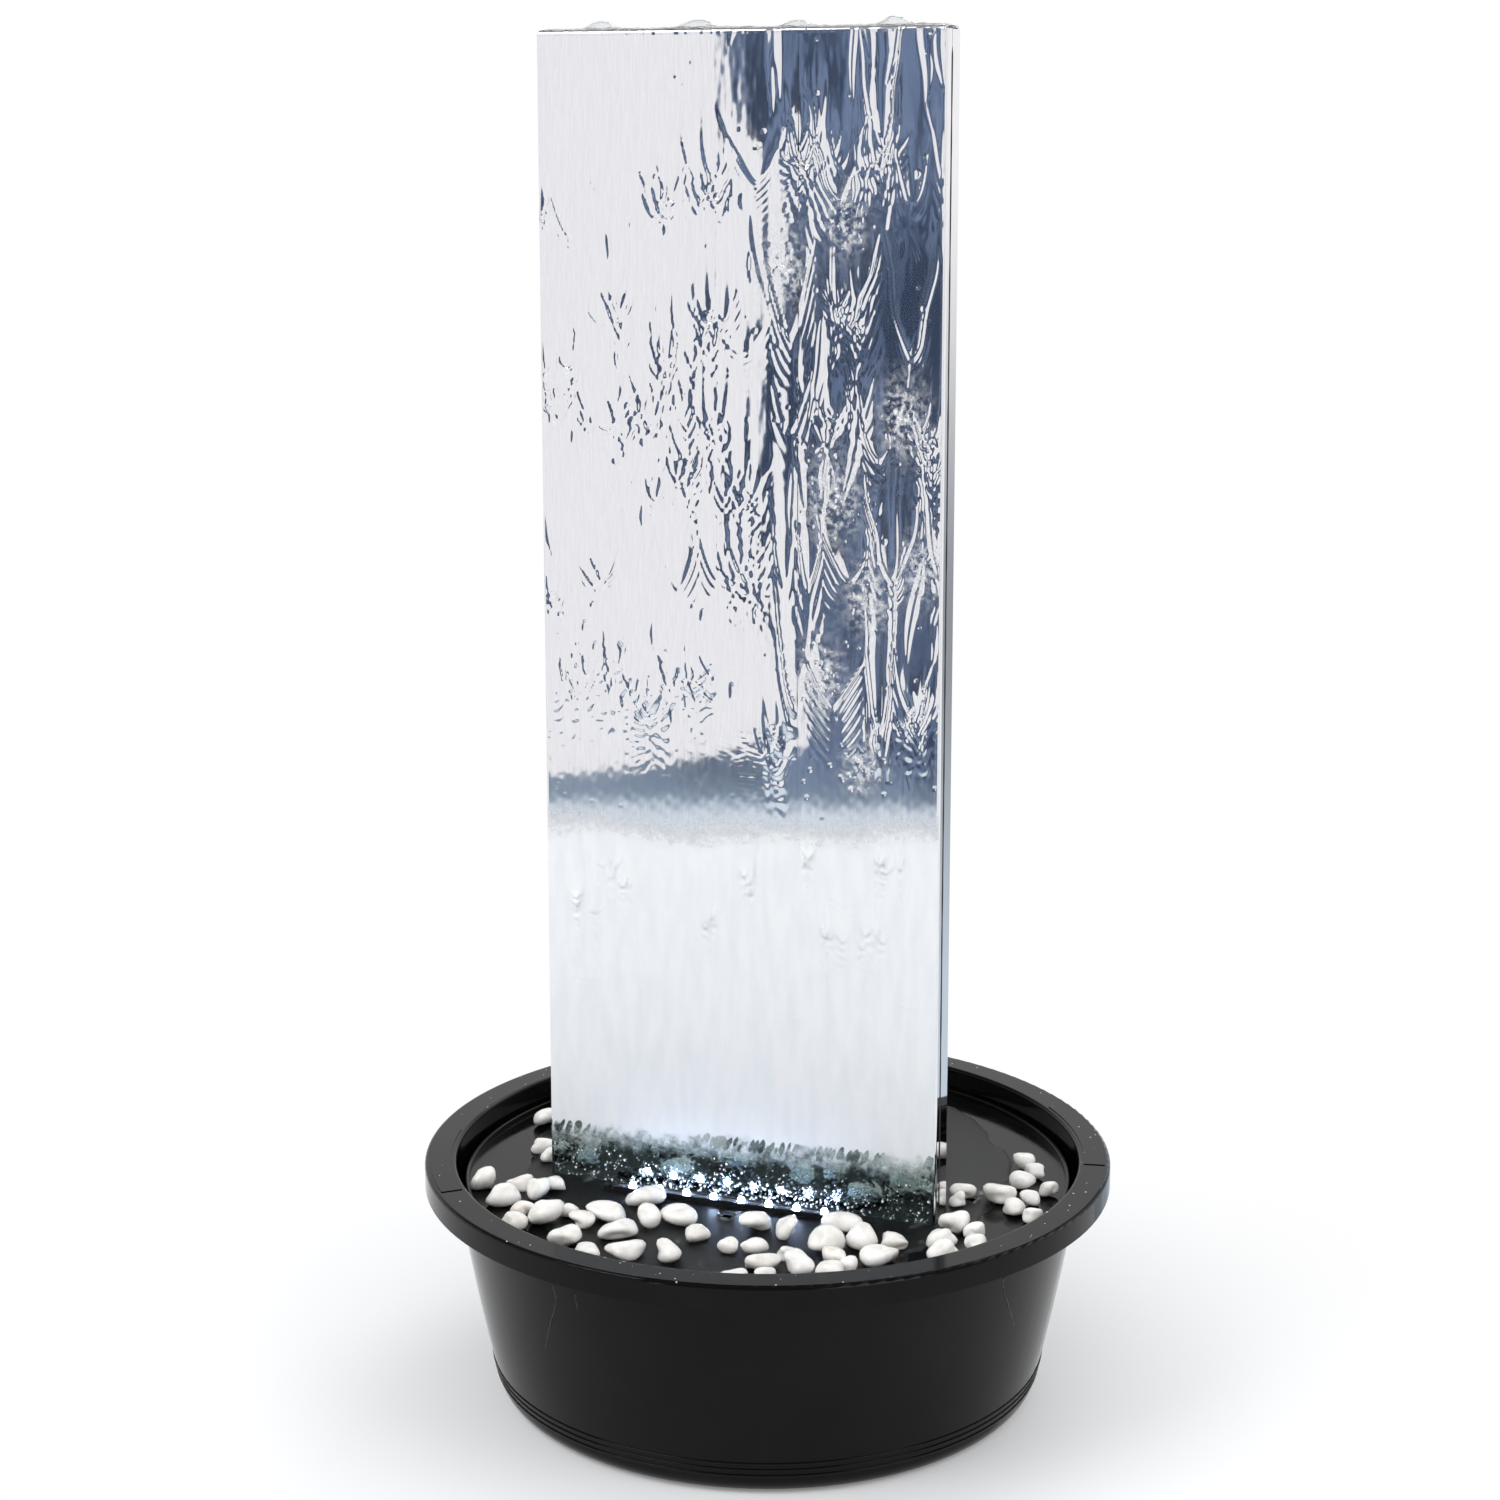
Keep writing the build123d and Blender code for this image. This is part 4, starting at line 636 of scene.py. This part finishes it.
# black sealing compound in the panel's side seams: a low hand-drawn bead
seamSet = {
    "behindFace": (faceHigh.y - faceLow.y) / mm + 0.3, "half": 1.7, "proud": 0.35, "edge": 0.05, "bed": 0.4,
    "waver": 0.12, "waverMm": (31, 47, 83), "ends": (6.0, 14.0), "taper": 2.0, "tip": 0.3,
    "columns": 8, "rows": 160, "seed": 12,
}
rng = np.random.default_rng(seamSet["seed"])
for end, side in (("left", -1), ("right", 1)):
    bm, grid = unitGrid(seamSet["columns"], seamSet["rows"])
    low, high = panelFoot + seamSet["ends"][0], panelTop - seamSet["ends"][1]
    up = low + (high - low) * (grid[:, 1] + 0.5)
    wide = np.ones(len(up))
    for waveMm in seamSet["waverMm"]:
        wide += seamSet["waver"] / 2 * np.cos(2 * np.pi * up / waveMm + rng.uniform(0, turnMost))
    wide *= np.clip(np.minimum(up - low, high - up) / seamSet["taper"], seamSet["tip"], 1)
    dome = seamSet["proud"] * wide * np.clip(1 - (2 * grid[:, 0]) ** 2, seamSet["edge"], 1)
    for v, share, z, w, d in zip(bm.verts, grid[:, 0] * 2, up, wide, dome):
        inward = (seamSet["behindFace"] + share * seamSet["half"] * w) * mm
        v.co = (side * (panelHalf + d) * mm, faceLow.y + inward, z * mm)
    closeOnBed(bm, 0, side * (panelHalf - seamSet["bed"]) * mm)
    finishPiece(f"seam_bead_{end}", bm, finishes["seal_rubber"], "panel")
print("seams filled")


# water at the top: wells up over the spray outlets, fills the slot and rolls over both lips
crestSet = {
    "columns": 190, "flatPoints": 28, "bendPoints": 7, "sideGap": 1.5, "sideFade": 3, "sideLeast": 0.2,
    "skin": 0.55, "thinnest": 0.12, "waver": 0.22, "waves": 26, "waveMm": (16, 9), "crown": 0.9, "crownHalf": 10,
    "drop": 4.0, "wall": 0.5, "bend": 2.2, "seed": 8,
    "wells": (-108, -36, 36, 108), "wellStray": (3, 1), "wellHalf": (9.5, 12.5), "wellRise": (3.2, 5.0),
    "wellOval": 0.62, "wellSteep": 1.3, "swirl": 0.22, "lobes": 3,
}


def crestPath(count):  # points over the top of the panel, front to back: place and outward direction, in mm
    front, back, bend = faceLow.y / mm, backHigh.y / mm, crestSet["bend"]
    lowEnd, shoulder = panelTop - crestSet["drop"], panelTop - bend
    turn = np.linspace(0, np.pi / 2, crestSet["bendPoints"])
    legs = [np.stack([np.full(3, front), np.linspace(lowEnd, shoulder, 3)], 1)[:-1],
            np.stack([front + bend - bend * np.cos(turn), shoulder + bend * np.sin(turn)], 1),
            np.stack([np.linspace(front + bend, back - bend, count)[1:-1], np.full(count - 2, panelTop)], 1),
            np.stack([back - bend + bend * np.sin(turn), shoulder + bend * np.cos(turn)], 1),
            np.stack([np.full(3, back), np.linspace(shoulder, lowEnd, 3)], 1)[1:]]
    line = np.concatenate(legs)
    ahead = np.gradient(line, axis=0)
    outward = np.stack([-ahead[:, 1], ahead[:, 0]], 1)
    return line, outward / np.linalg.norm(outward, axis=1)[:, None]


rng = np.random.default_rng(crestSet["seed"])
line, outward = crestPath(crestSet["flatPoints"])
bm, grid = unitGrid(crestSet["columns"], len(line) - 1)
reach = panelHalf - crestSet["sideGap"]
across = grid[:, 0] * 2 * reach
step = np.rint((grid[:, 1] + 0.5) * (len(line) - 1)).astype(int)
place, out = line[step], outward[step]
fromMiddle = place[:, 0] - (faceLow.y + backHigh.y) / 2 / mm
rise = crestSet["skin"] + crestSet["waver"] * waveSum(rng, crestSet["waves"], crestSet["waveMm"], across, place[:, 0])
rise += crestSet["crown"] * np.clip(1 - (fromMiddle / crestSet["crownHalf"]) ** 2, 0, None)
strayX, strayY = crestSet["wellStray"]
for well in crestSet["wells"]:
    half, top = rng.uniform(*crestSet["wellHalf"]), rng.uniform(*crestSet["wellRise"])
    dx, dy = across - well - rng.uniform(-strayX, strayX), fromMiddle - rng.uniform(-strayY, strayY)
    swirl = 1 + crestSet["swirl"] * np.cos(crestSet["lobes"] * np.arctan2(dy, dx) + rng.uniform(0, turnMost))
    apart = (dx / half) ** 2 + (dy / (half * crestSet["wellOval"])) ** 2
    rise += top * np.exp(-apart ** crestSet["wellSteep"] * swirl)
rise *= np.clip((reach - np.abs(across)) / crestSet["sideFade"], crestSet["sideLeast"], 1)
for v, x, spot, aim, h in zip(bm.verts, across, place, out, np.clip(rise, crestSet["thinnest"], None)):
    v.co = (x * mm, (spot[0] + aim[0] * h) * mm, (spot[1] + aim[1] * h) * mm)
thicken(bm, crestSet["wall"])
finishPiece("water_crest", bm, water, "panel")
print("water over the top")


# water standing on the deck: a shallow sheet with a rounded edge, open at the drains, with a ring of water round each
puddleSet = {
    "edge": ((6, 178), (22, 184), (60, 198), (90, 205), (130, 206), (175, 193), (188, 187), (200, 182), (225, 190),
             (250, 203), (270, 206), (290, 205), (315, 196), (340, 184)),  # angle in degrees, reach in mm
    "spokes": 300, "rings": 60, "crowding": 0.8, "wiggle": 2.4, "wiggles": (5, 9, 14, 23, 37),
    "deep": 1.3, "bead": 2.6, "under": 1.4, "ripple": 0.05, "ripples": 20, "rippleMm": (24, 24),
    "drains": ((4, -98.5), (161.5, -8.5), (-161.5, -8.5), (70, 105), (-70, 105)), "drainHalf": 5.2,
    "ringReach": 6.3, "ringHalf": 1.3, "ringSides": 10, "ringSteps": 40, "panelGap": 0.4, "seed": 4,
}
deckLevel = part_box("light_channel")[0].z / mm
rng = np.random.default_rng(puddleSet["seed"])
angles, reaches = (np.array(c, float) for c in zip(*puddleSet["edge"]))
bm, grid = unitGrid(puddleSet["spokes"], puddleSet["rings"])
turn = (grid[:, 0] + 0.5) * 360
edge = np.interp(turn, angles, reaches, period=360)
for k in puddleSet["wiggles"]:
    size = puddleSet["wiggle"] / math.sqrt(k / puddleSet["wiggles"][0])
    edge += size * np.cos(np.radians(k * turn) + rng.uniform(0, turnMost))
reach = edge * (grid[:, 1] + 0.5) ** puddleSet["crowding"]
xs, ys = reach * np.cos(np.radians(turn)), reach * np.sin(np.radians(turn))
inBead = np.clip((reach - edge + puddleSet["bead"]) / puddleSet["bead"], 0, 1)
ripples = puddleSet["ripple"] * waveSum(rng, puddleSet["ripples"], puddleSet["rippleMm"], xs, ys)
deep = puddleSet["deep"] * np.sqrt(1 - inBead ** 2) + ripples * (1 - inBead)
for v, x, y, d in zip(bm.verts, xs, ys, deep):
    v.co = (x * mm, y * mm, (deckLevel + d) * mm)
bmesh.ops.remove_doubles(bm, verts=bm.verts, dist=1e-6)
gap = puddleSet["panelGap"] * mm
walls = ((faceLow.x - gap, faceLow.y - gap), (faceHigh.x + gap, backHigh.y + gap))  # low and high corner
for corner in walls:
    for axis in (0, 1):
        spot, aim = Vector(), Vector()
        spot[axis], aim[axis] = corner[axis], 1.0
        everything = bm.verts[:] + bm.edges[:] + bm.faces[:]
        bmesh.ops.bisect_plane(bm, geom=everything, plane_co=spot, plane_no=aim, dist=1e-7)
hidden = []
for f in bm.faces:
    middle = f.calc_center_median()
    underPanel = all(walls[0][k] < middle[k] < walls[1][k] for k in (0, 1))
    toDrains = [math.hypot(middle.x / mm - x, middle.y / mm - y) for x, y in puddleSet["drains"]]
    if underPanel or min(toDrains) < puddleSet["drainHalf"]:
        hidden.append(f)
bmesh.ops.delete(bm, geom=hidden, context="FACES")
thicken(bm, puddleSet["under"])
finishPiece("water_puddle", bm, stillWater, "deck")
bm = bmesh.new()
for x, y in puddleSet["drains"]:
    ring = bmesh.ops.create_circle(bm, segments=puddleSet["ringSides"], radius=puddleSet["ringHalf"] * mm)["verts"]
    bmesh.ops.rotate(bm, verts=ring, cent=(0, 0, 0), matrix=Matrix.Rotation(math.pi / 2, 3, "X"))
    middle = Vector((x * mm, y * mm, (deckLevel + puddleSet["deep"]) * mm))
    bmesh.ops.translate(bm, verts=ring, vec=middle + Vector((puddleSet["ringReach"] * mm, 0, 0)))
    edges = list({e for v in ring for e in v.link_edges})
    bmesh.ops.spin(bm, geom=ring + edges, cent=middle, axis=(0, 0, 1), angle=2 * math.pi,
                   steps=puddleSet["ringSteps"], use_merge=True)
bmesh.ops.recalc_face_normals(bm, faces=bm.faces)
finishPiece("water_drain_rings", bm, water, "deck", 180)
print("water on the deck")


# pebbles: each stone follows its CAD egg, with lumps, flats and a tint of its own
pebbleSet = {
    "detail": 3, "grow": 1.04, "square": 0.86, "deckGap": 0.1, "seed": 17,
    "lumps": 5, "lumpShare": 0.11, "lumpSize": (0.3, 1), "lumpTurns": (1.4, 3.0),
    "flats": 9, "flatShare": 0.36, "flatSize": (0.4, 1), "flatFrom": 0.55, "flatCurve": 1.5,
    "stained": 0.08, "stain": (0.6, 1.0), "clean": (0, 0.12),
}


def strayAim(rng):  # a random direction
    aim = rng.normal(size=3)
    return aim / np.linalg.norm(aim)


source = bmesh.new()
source.from_mesh(nodes["pebbles"].data)
bmesh.ops.remove_doubles(source, verts=source.verts, dist=1e-5)
waiting, stones = set(source.verts), []
while waiting:
    group, edgeVerts = set(), [waiting.pop()]
    while edgeVerts:
        v = edgeVerts.pop()
        group.add(v)
        for e in v.link_edges:
            other = e.other_vert(v)
            if other in waiting:
                waiting.remove(other)
                edgeVerts.append(other)
    stones.append(np.array([v.co for v in group]))
source.free()
stones.sort(key=lambda c: tuple(np.round(c.mean(0), 4)))
rng = np.random.default_rng(pebbleSet["seed"])
bm = bmesh.new()
tint = bm.verts.layers.float.new("stoneTint")
for cloud in stones:
    middle = (cloud.min(0) + cloud.max(0)) / 2
    axes = np.linalg.eigh(np.cov((cloud - middle).T))[1]
    spread = (cloud - middle) @ axes
    middle = middle + axes @ ((spread.min(0) + spread.max(0)) / 2)
    half = (spread.max(0) - spread.min(0)) / 2
    made = bmesh.ops.create_icosphere(bm, subdivisions=pebbleSet["detail"], radius=1.0)["verts"]
    ball = np.array([v.co for v in made])
    reach = np.ones(len(ball))
    for _ in range(pebbleSet["lumps"]):
        along = ball @ strayAim(rng)
        size = pebbleSet["lumpShare"] * rng.uniform(*pebbleSet["lumpSize"])
        reach += size * np.sin(rng.uniform(*pebbleSet["lumpTurns"]) * along + rng.uniform(0, turnMost))
    for _ in range(pebbleSet["flats"]):
        beyond = (ball @ strayAim(rng) - pebbleSet["flatFrom"]) / (1 - pebbleSet["flatFrom"])
        size = pebbleSet["flatShare"] * rng.uniform(*pebbleSet["flatSize"])
        reach *= 1 - size * np.clip(beyond, 0, 1) ** pebbleSet["flatCurve"]
    body = np.sign(ball) * np.abs(ball) ** pebbleSet["square"]
    body *= reach[:, None]
    body *= half * pebbleSet["grow"] * 2 / (body.max(0) - body.min(0))
    points = middle + (body - (body.max(0) + body.min(0)) / 2) @ axes.T
    points[:, 2] = np.maximum(points[:, 2], (deckLevel + pebbleSet["deckGap"]) * mm)
    stain = rng.uniform(*pebbleSet["stain" if rng.uniform() < pebbleSet["stained"] else "clean"])
    for v, spot in zip(made, points):
        v.co = spot
        v[tint] = stain
bmesh.ops.recalc_face_normals(bm, faces=bm.faces)
pebblePiece = finishPiece("pebbles_tumbled", bm, stone, "deck", 180)
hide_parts("pebbles")
print("pebbles:", len(stones))


# drops: thrown up at the panel's foot, on the rim and running down the tub; froth in front of the lamps
dropSet = {
    "half": (0.30, 0.8), "flatness": 0.62, "faceGap": 1.2, "sideGap": 2, "seed": 31,
    "footDrops": 140, "footLift": 1.5, "footReach": 40, "footFall": (1.0, 2.2),  # most of them low down
    "frothDrops": 330, "frothLift": 1.2, "frothReach": 30, "frothFall": (1.0, 2.0),
    "frothHalves": (0.45, 0.7, 1.1), "frothOdds": (0.5, 0.35, 0.15),
    "lamps": 8, "lampFroth": 20, "lampSpread": (6.2, 7.0), "lampHalf": (0.5, 1.2),
    "rimDrops": 60, "rimReach": (0.235, 0.256), "rimFlat": 0.6,
    "runs": (((249.5, 143), (250.0, 132), (244.6, 88)), ((254.5, 143), (254.8, 130)),
             ((335.0, 143), (335.3, 134), (341.3, 96))), "runHalf": 0.8,  # turn in degrees, height in mm
}
upward = Vector((0, 0, 1))


def wateryDrops(name, spots, material, body):  # each spot: place and half size in mm, outward direction
    bm = bmesh.new()
    for place, half, out in spots:
        made = bmesh.ops.create_icosphere(bm, subdivisions=1, radius=half * mm)["verts"]
        turn = upward.rotation_difference(Vector(out)).to_matrix()
        bmesh.ops.scale(bm, verts=made, vec=(1, 1, dropSet["flatness"]))
        bmesh.ops.rotate(bm, verts=made, cent=(0, 0, 0), matrix=turn)
        bmesh.ops.translate(bm, verts=made, vec=Vector(place) * mm)
    finishPiece(name, bm, material, body, 180)


def onFoot(kind):  # a place low on the panel's front
    x = rng.uniform(-panelHalf + dropSet["sideGap"], panelHalf - dropSet["sideGap"])
    lift = dropSet[kind + "Lift"] + dropSet[kind + "Reach"] * rng.beta(*dropSet[kind + "Fall"])
    return x, faceY, panelFoot + lift


rng = np.random.default_rng(dropSet["seed"])
faceY, forward = faceLow.y / mm - dropSet["faceGap"], (0, -1, 0)
spots = [(onFoot("foot"), rng.uniform(*dropSet["half"]), forward) for _ in range(dropSet["footDrops"])]
wateryDrops("water_drops_foot", spots, water, "panel")
spots = [(onFoot("froth"), rng.choice(dropSet["frothHalves"], p=dropSet["frothOdds"]), forward)
         for _ in range(dropSet["frothDrops"])]
lampLow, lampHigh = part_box("light_lamps")
lampHalf = (lampHigh.y - lampLow.y) / 2
for lampX in np.linspace(lampLow.x + lampHalf, lampHigh.x - lampHalf, dropSet["lamps"]) / mm:
    for _ in range(dropSet["lampFroth"]):
        aside, lift = (rng.normal(0, spread) for spread in dropSet["lampSpread"])
        place = (lampX + aside, faceY, panelFoot + dropSet["frothLift"] + abs(lift))
        spots.append((place, rng.uniform(*dropSet["lampHalf"]), forward))
wateryDrops("water_froth_foot", spots, frothWhite, "panel")
tubTree = BVHTree.FromPolygons([v.co.copy() for v in nodes["basin"].data.vertices],
                               [tuple(f.vertices) for f in nodes["basin"].data.polygons])
spots, above = [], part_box("basin")[1].z + 0.1
while len(spots) < dropSet["rimDrops"]:
    turn, reach = rng.uniform(0, 2 * math.pi), rng.uniform(*dropSet["rimReach"])
    hit, out = tubTree.ray_cast(Vector((reach * math.cos(turn), reach * math.sin(turn), above)), -upward)[:2]
    if hit is not None and out.z > dropSet["rimFlat"]:
        spots.append((hit / mm, rng.uniform(*dropSet["half"]), out))
wateryDrops("water_drops_rim", spots, frothWhite, "basin")
bm = bmesh.new()
half = dropSet["runHalf"] * mm
for run in dropSet["runs"]:
    points = []
    for turn, height in run:
        aim = Vector((math.cos(math.radians(turn)), math.sin(math.radians(turn)), 0))
        points.append(tubTree.ray_cast(aim + upward * height * mm, -aim)[0])
    for start, end in zip(points, points[1:]):
        made = bmesh.ops.create_icosphere(bm, subdivisions=2, radius=1.0)["verts"]
        along = start - end
        bmesh.ops.scale(bm, verts=made, vec=(half, half, along.length / 2 + half))
        bmesh.ops.rotate(bm, verts=made, cent=(0, 0, 0), matrix=upward.rotation_difference(along).to_matrix())
        bmesh.ops.translate(bm, verts=made, vec=(start + end) / 2)
finishPiece("water_runs", bm, water, "basin", 180)
print("drops set")
